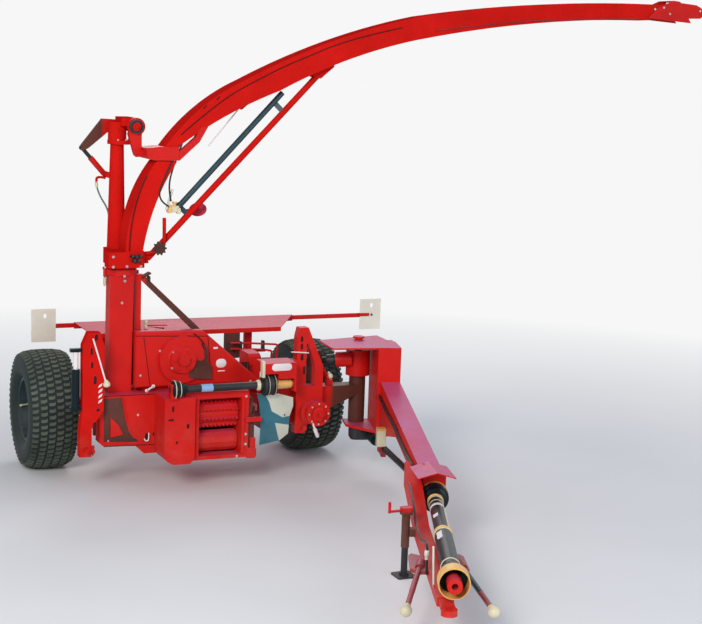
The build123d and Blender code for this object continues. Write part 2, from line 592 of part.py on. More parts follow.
with BuildPart() as header_ram:
    # upright lift ram beside the right post, held by two lugs
    with BuildSketch(level(610, -1000, CASE_FRONT_Y - POST_T / 2)):
        Circle(29)
    extrude(amount=275)
    with BuildSketch(level(885, -1000, CASE_FRONT_Y - POST_T / 2)):
        Circle(13)
    extrude(amount=120)
    for z in (600, 1005):
        with BuildSketch(level(z, 0, CASE_FRONT_Y - POST_T / 2)):
            with Locations((-960, 0)):
                Rectangle(80, 34, align=(Align.MAX, Align.CENTER))
        extrude(amount=24)
save(header_ram.part, "header_ram")

# ---------------------------------------------------------------- tower and spout
with BuildPart() as tower:
    with BuildSketch(front(TOWER_REAR_Y)):
        with BuildLine():
            Polyline((TOWER_RIGHT_X, CASE_TOP_Z), (TOWER_LEFT_X - 12, CASE_TOP_Z),
                     (TOWER_LEFT_X, TOWER_TOP_Z), (TOWER_RIGHT_X + 8, TOWER_TOP_Z), close=True)
        make_face()
    extrude(amount=TOWER_REAR_Y - TOWER_FRONT_Y)
    # fixed collar under the turning base, with the spigot on which the spout turns
    for z, height, radius in ((TOWER_TOP_Z, COLLAR_T, RING_R + 10),
                              (TOWER_TOP_Z + COLLAR_T, RING_T + SEAT, SPIGOT_R)):
        with BuildSketch(level(z, TURN_X, TURN_Y)):
            Circle(radius)
        extrude(amount=height)
    # thin post beside it, tied to its head, and the sloping brace to the housing's roof
    with BuildSketch(front(TOWER_REAR_Y - 15)):
        with BuildLine():
            Polyline((HOUSE_RIGHT_X - SECOND_W, CASE_TOP_Z), (HOUSE_RIGHT_X, CASE_TOP_Z),
                     (HOUSE_RIGHT_X, TOWER_TOP_Z - 40), (-94, HOUSE_TOP_Z), (-34, HOUSE_TOP_Z),
                     (HOUSE_RIGHT_X + 10, TOWER_TOP_Z), (TOWER_LEFT_X - 20, TOWER_TOP_Z),
                     (TOWER_LEFT_X - 20, HEAD_Z), (HOUSE_RIGHT_X - SECOND_W, HEAD_Z), close=True)
        make_face()
    extrude(amount=SECOND_T)
save(tower.part, "tower")

TURN_Z = TOWER_TOP_Z + COLLAR_T + SEAT
BASE_Z0 = TURN_Z + RING_T
BASE_Z1 = BASE_Z0 + BASE_T

with BuildPart() as turning_base:
    with BuildSketch(level(TURN_Z, TURN_X, TURN_Y)):
        Circle(RING_R)
        Circle(SPIGOT_R + SEAT, mode=Mode.SUBTRACT)
    extrude(amount=RING_T)
    with BuildSketch(level(BASE_Z0)):
        with BuildLine():
            Polyline((BASE_RIGHT_X, -760), (BASE_LEFT_X, -760), (BASE_LEFT_X, -560),
                     (MAST_X + MAST_FOOT_R + 8, -425), (MAST_X - MAST_FOOT_R - 8, -425),
                     (MAST_X - MAST_FOOT_R - 14, -520), (BASE_RIGHT_X, -640),
                     close=True)
        make_face()
    extrude(amount=BASE_T)
    chamfer(turning_base.edges().filter_by(Axis.Z).group_by(Axis.Y)[0], 14)
save(turning_base.part, "turning_base")


ROWS_UP = (
    # outer and inner edge of the upper section, seen from the side: ends and middles of arcs
    ((-366, 2395), (-130, 2650), (201, 2862), (866, 3158), (1562, 3362), (2485, 3484), (3720, 3536)),
    ((-273, 2395), (80, 2618), (466, 2796), (960, 3020), (1530, 3190), (2450, 3342), (3520, 3414)),
)


def moved(row, shift, reach):
    """The row shifted sideways, its two ends run on by reach."""
    out = []
    for n, (x, z) in enumerate(row):
        (ax, az), (bx, bz) = row[max(n - 1, 0)], row[min(n + 1, len(row) - 1)]
        length = hypot(bx - ax, bz - az)
        run, rise = (bx - ax) / length, (bz - az) / length
        end = reach * ((n == len(row) - 1) - (n == 0))
        out.append((x + shift * rise + end * run, z - shift * run + end * rise))
    return out


def duct(outer, inner, y, width):
    """A solid between two rows of arcs."""
    with BuildPart() as body:
        with BuildSketch(front(y + width / 2)):
            with BuildLine():
                for row in (outer, inner):
                    for start, middle, end in zip(row[:-2:2], row[1:-1:2], row[2::2]):
                        ThreePointArc(start, middle, end)
                Line(outer[-1], inner[-1])
                Line(inner[0], outer[0])
            make_face()
        extrude(amount=width)
    return body.part


LOWER_ROWS = (
    ((LOW_OUTER_X, BASE_Z1), (-588, 1975), (-425, SEAM_Z - GAP)),
    ((LOW_INNER_X, BASE_Z1), (-440, 1965), (-278, SEAM_Z - GAP)),
)
spouts = {}
for name, (outer, inner) in (("lower_spout", LOWER_ROWS), ("upper_spout", ROWS_UP)):
    spouts[name] = duct(outer, inner, SPOUT_Y, SPOUT_W)
    with BuildPart() as spout:
        add(spouts[name])
        if name == "lower_spout":
            with BuildSketch(level(BASE_Z1, 0.5 * (LOW_OUTER_X + LOW_INNER_X), SPOUT_Y)):
                Rectangle(LOW_INNER_X - LOW_OUTER_X + 16, SPOUT_W + 10)
            extrude(amount=8)
        add(duct(moved(outer, SHEET, 20), moved(inner, -SHEET, 20), SPOUT_Y, SPOUT_W - 2 * SHEET),
            mode=Mode.SUBTRACT)
    save(spout.part, name)

with BuildPart() as mast:
    # tapered tube with a collar at its head
    with BuildSketch(front(MAST_Y, MAST_X)):
        Polygon((0, BASE_Z1), (MAST_FOOT_R, BASE_Z1), (MAST_TOP_R, MAST_TOP_Z), (MAST_FOOT_R, MAST_TOP_Z),
                (MAST_FOOT_R, MAST_TOP_Z + 150), (0, MAST_TOP_Z + 150), align=None)
    revolve(axis=Axis(at(MAST_X, MAST_Y, 0), (0, 0, 1)))
    # sleeve of the lift shaft, webbed to the mast's head
    with BuildSketch(front(LIFT_REAR_Y - 40 - SEAT, LIFT_X, LIFT_Z)):
        Circle(LIFT_R + 18)
        Rectangle(90, 60, align=(Align.MAX, Align.MIN))
    extrude(amount=180)
    with BuildSketch(front(LIFT_REAR_Y, LIFT_X, LIFT_Z)):
        Circle(LIFT_R + SEAT)
    extrude(amount=400, mode=Mode.SUBTRACT)
    # pin for the lift cylinder's foot
    with BuildSketch(front(RAM_REAR_Y + 6, RAM_FOOT_X, RAM_FOOT_Z)):
        Circle(PIN_R)
    extrude(amount=RAM_REAR_Y + 6 - MAST_Y)
    with BuildSketch(front(RAM_FRONT_Y - 6, RAM_FOOT_X, RAM_FOOT_Z)):
        Circle(PIN_R + 12)
    extrude(amount=RAM_FRONT_Y - 6 - MAST_Y)
save(mast.part, "mast")

with BuildPart() as lift_arm:
    # shaft, ring and arm in front, crank behind
    with BuildSketch(front(LIFT_REAR_Y, LIFT_X, LIFT_Z)):
        Circle(LIFT_R)
    extrude(amount=LIFT_REAR_Y - LIFT_FRONT_Y)
    with BuildSketch(front(LIFT_FRONT_Y + 42, LIFT_X, LIFT_Z)):
        Circle(60)
        with BuildLine():
            Polyline((-40, 0), (-58, -50), (-14, -194), (2, -209), (64, -199), (64, -169), (37, -163),
                     (36, -60), (40, 0), close=True)
        make_face()
    extrude(amount=42)
    with BuildSketch(front(LIFT_REAR_Y - 20)):
        with BuildLine():
            Polyline((LIFT_X + 20, LIFT_Z - 28), (LIFT_X + 10, LIFT_Z + 34), (LIFT_X - 187, LIFT_Z + 42),
                     (CRANK_X - 22, CRANK_Z + 22), (CRANK_X - 4, CRANK_Z - 18), (CRANK_X + 34, CRANK_Z + 2),
                     (LIFT_X - 128, LIFT_Z - 40), close=True)
        make_face()
    extrude(amount=20)
    with BuildSketch(front(RAM_REAR_Y + 6, CRANK_X, CRANK_Z)):
        Circle(PIN_R)
    extrude(amount=RAM_REAR_Y + 6 - LIFT_REAR_Y + 30)
    # box that carries the upper spout
    with BuildSketch(front(SPOUT_Y + SPOUT_W / 2 + 10)):
        with BuildLine():
            Polyline((LIFT_X + 50, SEAM_Z + 10), (-440, SEAM_Z), (-268, SEAM_Z), (-268, CLAMP_TOP_Z),
                     (-400, CLAMP_TOP_Z), (LIFT_X + 38, CLAMP_TOP_Z - 10), close=True)
        make_face()
    extrude(amount=SPOUT_W + 20)
    # stay from the clamp to the underside of the upper section
    with BuildSketch(front(SPOUT_Y - SPOUT_W / 2 + 40)):
        with BuildLine():
            Polyline((-275, SEAM_Z), (-262, SEAM_Z), (-120, 2430), (-60, 2535), (-110, 2535),
                     (-150, 2462), (-275, 2352),
                     close=True)
        make_face()
    extrude(amount=44)
    with BuildSketch(front(SPOUT_Y + SPOUT_W / 2 - SHEET)):
        with BuildLine():
            Polyline((-420, SEAM_Z), (-283, SEAM_Z), (-278, CLAMP_TOP_Z), (-362, CLAMP_TOP_Z), close=True)
        make_face()
    extrude(amount=SPOUT_W - 2 * SHEET, mode=Mode.SUBTRACT)
    add(spouts["upper_spout"], mode=Mode.SUBTRACT)
save(lift_arm.part, "lift_arm")

# the lift cylinder stands in the plane of the crank's pin
ram_foot = at(RAM_FOOT_X, RAM_FRONT_Y, RAM_FOOT_Z)
ram_tip = at(CRANK_X, RAM_FRONT_Y, CRANK_Z)
ram_dir = (ram_tip - ram_foot).normalized()
RAM_W = RAM_REAR_Y - RAM_FRONT_Y
mid = Vector(0, RAM_W / 2, 0)
with BuildPart() as lift_cylinder:
    with BuildSketch(front(RAM_REAR_Y, RAM_FOOT_X, RAM_FOOT_Z)):
        Circle(PIN_R + 9)
    extrude(amount=RAM_W)
    with BuildSketch(along(ram_foot + mid, ram_tip + mid, (0, 1, 0))):
        Circle(RAM_R)
    extrude(amount=RAM_L)
    with BuildSketch(along(ram_foot + mid + ram_dir * 26, ram_tip + mid, (0, 1, 0))):
        Circle(RAM_ROD_R + SEAT)
    extrude(amount=RAM_L, mode=Mode.SUBTRACT)
    with BuildSketch(front(RAM_REAR_Y + 20, RAM_FOOT_X, RAM_FOOT_Z)):
        Circle(PIN_R + SEAT)
    extrude(amount=RAM_W + 40, mode=Mode.SUBTRACT)
save(lift_cylinder.part, "lift_cylinder")

with BuildPart() as lift_rod:
    with BuildSketch(front(RAM_REAR_Y - 2, CRANK_X, CRANK_Z)):
        Circle(PIN_R + 9)
    extrude(amount=RAM_W - 4)
    with BuildSketch(along(ram_foot + mid + ram_dir * RAM_ROD_FROM, ram_tip + mid, (0, 1, 0))):
        Circle(RAM_ROD_R)
    extrude(amount=(ram_tip - ram_foot).length - RAM_ROD_FROM)
    with BuildSketch(front(RAM_REAR_Y + 20, CRANK_X, CRANK_Z)):
        Circle(PIN_R + EYE_GAP)
    extrude(amount=RAM_W + 40, mode=Mode.SUBTRACT)
save(lift_rod.part, "lift_rod")

# ---------------------------------------------------------------- strut under the spout
STRUT_FOOT, STRUT_HEAD = at(-455, SPOUT_Y, 1612), at(805, SPOUT_Y, 2931)
with BuildPart() as strut:
    with BuildSketch(along(STRUT_FOOT, STRUT_HEAD, (0, 1, 0))):
        Circle(STRUT_R)
    extrude(amount=(STRUT_HEAD - STRUT_FOOT).length)
    # foot that rests against the turning base, and saddle under the spout
    with BuildSketch(side(BASE_LEFT_X + SEAT, SPOUT_Y, 1612)):
        Rectangle(50, 60)
    extrude(amount=46)
    with BuildSketch(front(SPOUT_Y + 35)):
        with BuildLine():
            Polyline((740, 2900), (740, 3000), (900, 3060), (900, 2975), (800, 2890), close=True)
        make_face()
    extrude(amount=70)
    add(spouts["upper_spout"], mode=Mode.SUBTRACT)
save(strut.part, "strut")

with BuildPart() as strut_tube:
    tube_foot, tube_head = at(-262, SPOUT_Y, 1945), at(520, SPOUT_Y, 2782)
    with BuildSketch(along(tube_foot, tube_head, (0, 1, 0))):
        Circle(20)
    extrude(amount=(tube_head - tube_foot).length)
    with BuildSketch(along(tube_foot, tube_head, (0, 1, 0))):
        Circle(26)
    extrude(amount=60)
    # clips to the strut
    for share in (0.04, 0.92):
        here = tube_foot + (tube_head - tube_foot) * share
        with BuildSketch(Plane(origin=here + Vector(0, 9, 0), x_dir=(0.72, 0, -0.694), z_dir=(0, -1, 0))):
            Rectangle(104, 34, align=(Align.MIN, Align.CENTER))
        extrude(amount=18)
    with BuildSketch(along(STRUT_FOOT, STRUT_HEAD, (0, 1, 0))):
        Circle(STRUT_R)
    extrude(amount=(STRUT_HEAD - STRUT_FOOT).length, mode=Mode.SUBTRACT)
save(strut_tube.part, "strut_tube")

# ---------------------------------------------------------------- flaps at the spout's mouth
FLAP_SPECS = (
    # name, half width, hinge pins' reach from and to, hinge, side plate corners, roof
    ("flap", SPOUT_W / 2 + GAP + FLAP_T, (SPOUT_W / 2 + SEAT, SPOUT_W / 2 + GAP + 1), FLAP_HINGE,
     ((3500, 3430), (3590, 3515), (3680, 3552), (3729, 3573), (3790, 3568), (3904, 3407)),
     ((3730, 3573), (3760, 3571), (3790, 3568))),
    ("tip_flap", SPOUT_W / 2, (SPOUT_W / 2 - 1, SPOUT_W / 2 + GAP - SEAT), TIP_HINGE,
     ((3790, 3545), (3800, 3560), (3952, 3549), (4069, 3498), (3995, 3446), (3850, 3440), (3796, 3475)),
     ((3800, 3560), (3952, 3549), (4069, 3498))),
)
for name, half, (pin_from, pin_to), hinge, corners, roof in FLAP_SPECS:
    with BuildPart() as flap:
        for y in (SPOUT_Y + half, SPOUT_Y - half + FLAP_T):
            with BuildSketch(front(y)):
                with BuildLine():
                    Polyline(*corners, close=True)
                make_face()
            extrude(amount=FLAP_T)
        for y in (SPOUT_Y + pin_to, SPOUT_Y - pin_from):
            with BuildSketch(front(y)):
                with Locations(hinge):
                    Circle(PIN_R)
            extrude(amount=pin_to - pin_from)
        with BuildSketch(front(SPOUT_Y + half)):
            with BuildLine():
                Polyline(*roof, *[(x, z - FLAP_T) for x, z in reversed(roof)], close=True)
            make_face()
        extrude(amount=2 * half)
    save(flap.part, name)

# ---------------------------------------------------------------- drives on the left
with BuildPart() as swivel_gearbox:
    # round box on the pivot tube, its snout towards the housing, its spigot through the head plate
    with BuildSketch(level(OUTRIGGER_TOP_Z + 65, PIVOT_X, PIVOT_Y)):
        Circle(BOX_R)
    extrude(amount=BOX_TOP_Z - OUTRIGGER_TOP_Z - 65)
    with BuildSketch(level(BOX_TOP_Z, PIVOT_X, PIVOT_Y)):
        Circle(PIVOT_R)
    extrude(amount=HEAD_TOP_Z + 14 - BOX_TOP_Z)
    with BuildSketch(along(SIDE_TO, SIDE_TO + SIDE_DIR)):
        Circle(56)
    extrude(amount=120)
    with BuildSketch(level(HEAD_TOP_Z + 14, PIVOT_X, PIVOT_Y)):
        Circle(PIVOT_R + 14)
    extrude(amount=12)
save(swivel_gearbox.part, "swivel_gearbox")

with BuildPart() as side_shaft:
    # square to its own line at both ends, with a joint's sleeve near each
    side_len = (SIDE_TO - SIDE_FROM).length
    for start, reach, radius in ((SEAT, side_len - 2 * SEAT, 26), (12, 56, 42), (side_len - 68, 56, 42)):
        with BuildSketch(along(SIDE_FROM + SIDE_DIR * start, SIDE_TO)):
            Circle(radius)
        extrude(amount=reach)
save(side_shaft.part, "side_shaft")

# ---------------------------------------------------------------- drawbar
with BuildPart() as drawbar_head:
    # head plate over the gearbox, box on its left, foot plate under the pivot tube
    with BuildSketch(swung_level(HEAD_TOP_Z - HEAD_T)):
        with BuildLine():
            Polyline((-300, -30), (165, 190), (225, -60), (YOKE_END_U, -60), (YOKE_END_U, YOKE_V),
                     (YOKE_U, YOKE_V), (-240, -365), close=True)
        make_face()
        Circle(PIVOT_R + SEAT, mode=Mode.SUBTRACT)
    extrude(amount=HEAD_T)
    with BuildSketch(swung_level(YOKE_BOTTOM_Z - YOKE_T)):
        with BuildLine():
            Polyline((-90, 70), (YOKE_END_U, 70), (YOKE_END_U, YOKE_V), (YOKE_U, YOKE_V),
                     (-90, -110), close=True)
        make_face()
        Circle(PIVOT_R + SEAT, mode=Mode.SUBTRACT)
    extrude(amount=YOKE_T)
    with BuildSketch(swung_level(YOKE_BOTTOM_Z)):
        with Locations((YOKE_U, YOKE_V)):
            Rectangle(YOKE_END_U - YOKE_U, 60 - YOKE_V, align=(Align.MIN, Align.MIN))
    extrude(amount=HEAD_TOP_Z - HEAD_T - YOKE_BOTTOM_Z)
save(drawbar_head.part, "drawbar_head")

FRONT_DIR = Vector(-sin(radians(FRONT_ANGLE)), -cos(radians(FRONT_ANGLE)), 0)
FRONT_LEFT = Vector(cos(radians(FRONT_ANGLE)), -sin(radians(FRONT_ANGLE)), 0)


def fore(t, s, z):
    """A point on the front beam: t along it from its root, s to its left."""
    return at(FRONT_X, FRONT_Y, z) + FRONT_DIR * t + FRONT_LEFT * s


with BuildPart() as drawbar_beam:
    # rear beam, deep at its root
    with BuildSketch(swung_side(BEAM_U - BEAM_W / 2)):
        with BuildLine():
            Polyline((YOKE_V, 750), (KNEE_V, 525), (KNEE_V, 525 - BEAM_H), (-1000, 507), (-620, 420),
                     (YOKE_V, 420),
                     close=True)
        make_face()
    extrude(amount=BEAM_W)
    # front beam, laid along the right underside of the rear one
    with BuildSketch(Plane(origin=fore(0, -FRONT_W / 2, 0), x_dir=-FRONT_DIR, z_dir=FRONT_LEFT)):
        with BuildLine():
            Polyline((0, 500), (-760, 298), (-FRONT_L, 296), (-FRONT_L, 245), (-760, 235),
                     (0, 345), close=True)
        make_face()
    extrude(amount=FRONT_W)
    # hitch plate and eye
    with BuildSketch(Plane(origin=fore(FRONT_L, 0, EYE_Z - EYE_T / 2), x_dir=FRONT_DIR, z_dir=(0, 0, 1))):
        Polygon((-40, 36), (0, 36), (EYE_REACH - 10, 36), (EYE_REACH - 10, -36), (0, -36), (-40, -36),
                align=None)
        with Locations((EYE_REACH, 0)):
            Circle(EYE_R + 26)
            Circle(EYE_R, mode=Mode.SUBTRACT)
    extrude(amount=EYE_T)
save(drawbar_beam.part, "drawbar_beam")

BACK_FROM, BACK_TO = swung(76, -190, 328), swung(225, KNEE_V - BEARING_T, 335)
BACK_DIR, BACK_L = (BACK_TO - BACK_FROM).normalized(), (BACK_TO - BACK_FROM).length
PTO_FROM, PTO_TO = BACK_TO, fore(FRONT_L + 114, 30, 395)
PTO_DIR, PTO_L = (PTO_TO - PTO_FROM).normalized(), (PTO_TO - PTO_FROM).length + 13
BOSS_L = 34             # boss on the bearing plate that looks along the front shaft

with BuildPart() as shaft_roof:
    # roof sheet over the joint and the bearing plate below it
    with BuildSketch(swung_front(KNEE_V)):
        with BuildLine():
            Polyline((70, 510), (BEAM_U, 545), (310, 510), (310, 504), (BEAM_U, 538), (70, 504), close=True)
        make_face()
    extrude(amount=286)
    with BuildSketch(swung_front(KNEE_V)):
        with BuildLine():
            Polyline((150, 539), (150, 280), (190, 262), (260, 262), (300, 290), (300, 515), close=True)
        make_face()
    extrude(amount=BEARING_T)
    with BuildSketch(along(PTO_FROM - PTO_DIR * 20, PTO_TO)):
        Circle(46)
    extrude(amount=BOSS_L + 20)
    with BuildSketch(along(BACK_FROM, BACK_TO)):
        Circle(SHAFT_R + SEAT)
    extrude(amount=BACK_L, mode=Mode.SUBTRACT)
save(shaft_roof.part, "shaft_roof")

with BuildPart() as lower_gearbox:
    with BuildSketch(swung_level(282, 20, -70)):
        RectangleRounded(150, 180, 40)
    extrude(amount=YOKE_BOTTOM_Z - YOKE_T - 282)
    # output boss, square to the shaft
    with BuildSketch(along(BACK_FROM - BACK_DIR * 60, BACK_TO)):
        Circle(40)
    extrude(amount=60)
save(lower_gearbox.part, "lower_gearbox")

with BuildPart() as beam_shaft:
    for start, reach, radius in ((SEAT, BACK_L - 4 - SEAT, SHAFT_R), (30, 150, 38), (BACK_L - 240, 150, 38)):
        with BuildSketch(along(BACK_FROM + BACK_DIR * start, BACK_TO)):
            Circle(radius)
        extrude(amount=reach)
save(beam_shaft.part, "beam_shaft")


def turned(rows, roll=(0, 0, 1)):
    """A body of revolution about the shaft's line: rows of distance and radius."""
    across = Vector(*roll).cross(PTO_DIR).normalized()
    with BuildPart() as body:
        with BuildSketch(Plane(origin=PTO_FROM, x_dir=PTO_DIR, z_dir=across)):
            with BuildLine():
                Polyline(*rows, close=True)
            make_face()
        revolve(axis=Axis(PTO_FROM, PTO_DIR))
    return body.part


PTO_ROWS = (
    # name, distance along the shaft and radius of each corner
    ("pto_guard", ((BOSS_L + 30, 52), (BOSS_L + 30, 68), (100, 75), (150, 73), (176, 44), (930, 44),
                   (940, 52), (PTO_L - 250, 52), (PTO_L - 150, 66), (PTO_L - 150, 58), (PTO_L - 250, 44),
                   (930, 36), (170, 36), (146, 66), (96, 67), (BOSS_L + 44, 52))),
    ("pto_cones", ((PTO_L - 150, 58), (PTO_L - 150, 70), (PTO_L - 60, 88), (PTO_L - 60, 82),
                   (PTO_L - 144, 58))), ("pto_shaft", ((BOSS_L + SEAT, 0), (BOSS_L + SEAT, 34), (110, 34),
                   (118, 24), (PTO_L - 140, 24), (PTO_L - 120, 40), (PTO_L, 40), (PTO_L, STUB_SHAFT_R),
                   (PTO_L - PTO_BORE_L, STUB_SHAFT_R), (PTO_L - PTO_BORE_L, 0))),
)
for name, rows in PTO_ROWS:
    with BuildPart() as piece:
        add(turned(rows))
        if name == "pto_cones":
            # collar of the guard on the bearing's boss
            add(turned(((0, 46), (0, 62), (BOSS_L + 30, 62), (BOSS_L + 30, 50), (BOSS_L, 46))))
        with BuildSketch(swung_front(KNEE_V - BEARING_T)):
            with Locations((225, 335)):
                Rectangle(400, 400)
        extrude(amount=-200, mode=Mode.SUBTRACT)
    save(piece.part, name)

GUIDE_SPECS = (
    # side of the beam, near and far corner of the wing plate, root and end of the rod
    (-1, 108, 138, 72, 191),
    (1, 165, 190, 140, 263),
)
with BuildPart() as guide_rods:
    # wing plates on both sides of the front beam, each with a rod
    for hand, near, far, root_s, end_s in GUIDE_SPECS:
        root, ball = fore(FRONT_L - 570, hand * root_s, 298), fore(FRONT_L - 89, hand * end_s, 200)
        corners = [fore(FRONT_L - t, hand * s, 0) - at(0, 0, 0) for t, s in
                   ((720, FRONT_W / 2), (770, near), (730, near + 20), (500, far), (460, far - 50),
                    (460, FRONT_W / 2))]
        with BuildSketch(level(262)):
            Polygon(*[(corner.X, corner.Y) for corner in corners], align=None)
        extrude(amount=22)
        with BuildSketch(along(root, ball)):
            Circle(15)
        extrude(amount=(ball - root).length)
        for start, reach, radius in ((0, 70, 24), ((ball - root).length, 44, 22)):
            with BuildSketch(along(root + (ball - root).normalized() * start, ball + (ball - root))):
                Circle(radius)
            extrude(amount=reach)
save(guide_rods.part, "guide_rods")

# ---------------------------------------------------------------- parking jack
JACK = fore(JACK_ALONG, -JACK_S, 0) - at(0, 0, 0)
with BuildPart() as jack_tube:
    with BuildSketch(level(JACK_LOW_Z, JACK.X, JACK.Y)):
        Circle(JACK_R + 5)
    extrude(amount=JACK_TOP_Z - JACK_LOW_Z)
    with BuildSketch(level(JACK_TOP_Z - 5, JACK.X, JACK.Y)):
        RectangleRounded(66, 56, 10)
    extrude(amount=44)
    with BuildSketch(level(JACK_LOW_Z, JACK.X, JACK.Y)):
        Circle(JACK_R + SEAT)
    extrude(amount=JACK_TOP_Z - JACK_LOW_Z - 5, mode=Mode.SUBTRACT)
    # bracket to the beam's right face
    with BuildSketch(Plane(origin=fore(JACK_ALONG, -FRONT_W / 2, 272), x_dir=-FRONT_DIR, z_dir=-FRONT_LEFT)):
        Rectangle(56, 44)
    extrude(amount=JACK_S - FRONT_W / 2 - JACK_R - 2)
    # crank with its handle
    with BuildSketch(side(JACK.X - 110, JACK.Y, JACK_TOP_Z + 20)):
        Circle(8)
    extrude(amount=90)
    with BuildSketch(level(JACK_TOP_Z + 12, JACK.X - 110, JACK.Y)):
        Circle(9)
    extrude(amount=66)
save(jack_tube.part, "jack_tube")

with BuildPart() as jack_leg:
    # foot plate with a collar, and the post that slides in the tube
    with BuildSketch(level(FLOOR_Z, JACK.X, JACK.Y)):
        RectangleRounded(120, 120, 12)
    extrude(amount=10)
    with BuildSketch(level(FLOOR_Z + 10, JACK.X, JACK.Y)):
        Circle(JACK_R + 10)
        Circle(JACK_R - 1)
    extrude(amount=14)
    with BuildSketch(level(FLOOR_Z + 10, JACK.X, JACK.Y)):
        Circle(JACK_R)
    extrude(amount=JACK_LOW_Z + 45 - FLOOR_Z - 10)
save(jack_leg.part, "jack_leg")
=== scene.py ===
# %% [markdown]
# # Forage harvester
# A trailed machine that chops grass or maize and throws it into a wagon through a tall curved spout.
# The CAD model gives every piece its place and size. This notebook loads it as a frame, finishes
# each surface, and adds what steel and rubber show up close: tread, bolts, hoses, wear and dust.

# %% Load the frame
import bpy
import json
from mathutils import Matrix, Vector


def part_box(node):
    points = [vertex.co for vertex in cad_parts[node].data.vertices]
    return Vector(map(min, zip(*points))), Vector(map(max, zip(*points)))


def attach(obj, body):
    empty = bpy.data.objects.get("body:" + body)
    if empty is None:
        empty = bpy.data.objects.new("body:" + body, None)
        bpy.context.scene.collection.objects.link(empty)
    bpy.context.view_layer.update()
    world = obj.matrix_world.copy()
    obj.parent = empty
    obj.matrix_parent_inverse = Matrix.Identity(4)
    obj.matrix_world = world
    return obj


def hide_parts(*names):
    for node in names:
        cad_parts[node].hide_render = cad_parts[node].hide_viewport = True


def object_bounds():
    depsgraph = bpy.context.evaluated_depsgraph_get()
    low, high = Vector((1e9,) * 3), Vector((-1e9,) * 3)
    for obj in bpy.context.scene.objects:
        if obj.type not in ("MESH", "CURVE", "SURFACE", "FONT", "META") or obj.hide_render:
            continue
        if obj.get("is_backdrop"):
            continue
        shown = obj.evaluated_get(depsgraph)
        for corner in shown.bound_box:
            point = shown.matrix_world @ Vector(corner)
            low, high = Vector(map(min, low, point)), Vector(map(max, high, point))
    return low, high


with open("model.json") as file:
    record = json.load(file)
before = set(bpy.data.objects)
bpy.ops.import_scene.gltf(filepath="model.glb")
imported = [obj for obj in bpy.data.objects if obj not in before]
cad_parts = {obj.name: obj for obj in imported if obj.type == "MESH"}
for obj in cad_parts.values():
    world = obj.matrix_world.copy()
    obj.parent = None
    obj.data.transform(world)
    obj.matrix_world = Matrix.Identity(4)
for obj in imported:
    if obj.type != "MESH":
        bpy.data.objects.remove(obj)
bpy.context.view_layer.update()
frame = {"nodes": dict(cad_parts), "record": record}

# %% [markdown]
# ## Places on the machine
# The frame's origin is the centre of the hitch eye, but a mechanic measures from the ground between
# the wheels. One small helper turns such a place in millimetres into the frame's metres, so every
# number below can be read off a drawing of the machine: X to its left, Y to the rear, Z up.

# %% Helpers from the standard library and Blender
import bpy, json, math
from mathutils import Matrix, Vector

HITCH = Vector((-0.040, 4.42508, -0.275))    # ground point between the wheels, seen from the hitch eye
GROUND_Z = HITCH.z
FORWARD, LEFTWARD, UPWARD, DOWNWARD = (Vector(v) for v in ((0, -1, 0), (1, 0, 0), (0, 0, 1), (0, 0, -1)))


def at(x, y, z):
    """A place given in millimetres from the ground point between the wheels."""
    return HITCH + Vector((x, y, z)) / 1000


print("hitch eye to axle", round(HITCH.y, 3), "m")

# %% [markdown]
# ## Floor and sky
# A pale floor and a pale sky dome keep the attention on the red paint. A recorded sky could light
# the steel too, but a plain colour keeps its reflections calm. The camera and the reflections
# see a plain bright backdrop, while the steel is lit by a dimmer, bluer sky.

# %% Floor and sky
FLOOR_SIZE = 90
SKY_COLOUR, SKY_LEVEL, BACKDROP_LEVEL = (0.74, 0.80, 0.92), 0.50, 0.93
bpy.ops.object.select_all(action="DESELECT")
bpy.ops.mesh.primitive_plane_add(size=FLOOR_SIZE, location=(0, 12, GROUND_Z))
floor = bpy.context.object
floor.name = "studio_floor"
bpy.ops.object.transform_apply(location=True, rotation=True, scale=True)
floor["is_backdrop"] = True

world = bpy.data.worlds.new("studio_sky")
bpy.context.scene.world = world
world.use_nodes = True
tree = world.node_tree
sky = tree.nodes["Background"]
sky.inputs["Color"].default_value = (*SKY_COLOUR, 1)
sky.inputs["Strength"].default_value = SKY_LEVEL
backdrop = tree.nodes.new("ShaderNodeBackground")
backdrop.inputs["Color"].default_value = (1, 1, 1, 1)
backdrop.inputs["Strength"].default_value = BACKDROP_LEVEL
seen = tree.nodes.new("ShaderNodeLightPath")
direct = tree.nodes.new("ShaderNodeMath")
direct.operation, direct.use_clamp = "ADD", True
tree.links.new(seen.outputs["Is Camera Ray"], direct.inputs[0])
tree.links.new(seen.outputs["Is Glossy Ray"], direct.inputs[1])
either = tree.nodes.new("ShaderNodeMixShader")
tree.links.new(direct.outputs[0], either.inputs["Fac"])
tree.links.new(sky.outputs["Background"], either.inputs[1])
tree.links.new(backdrop.outputs["Background"], either.inputs[2])
tree.links.new(either.outputs["Shader"], tree.nodes["World Output"].inputs["Surface"])
bpy.context.scene.view_settings.view_transform = "Standard"
print("floor", FLOOR_SIZE, "m wide, sky", SKY_LEVEL, "backdrop", BACKDROP_LEVEL)

# %% [markdown]
# ## Lamps
# A machine in a yard is lit by the whole sky and one sun. Three large soft lamps do the same indoors:
# a big key from the upper left, a weak fill from the right and a low rim light behind. Square area
# lamps are used because their soft shadows suit folded sheet better than the hard ones of a sun.

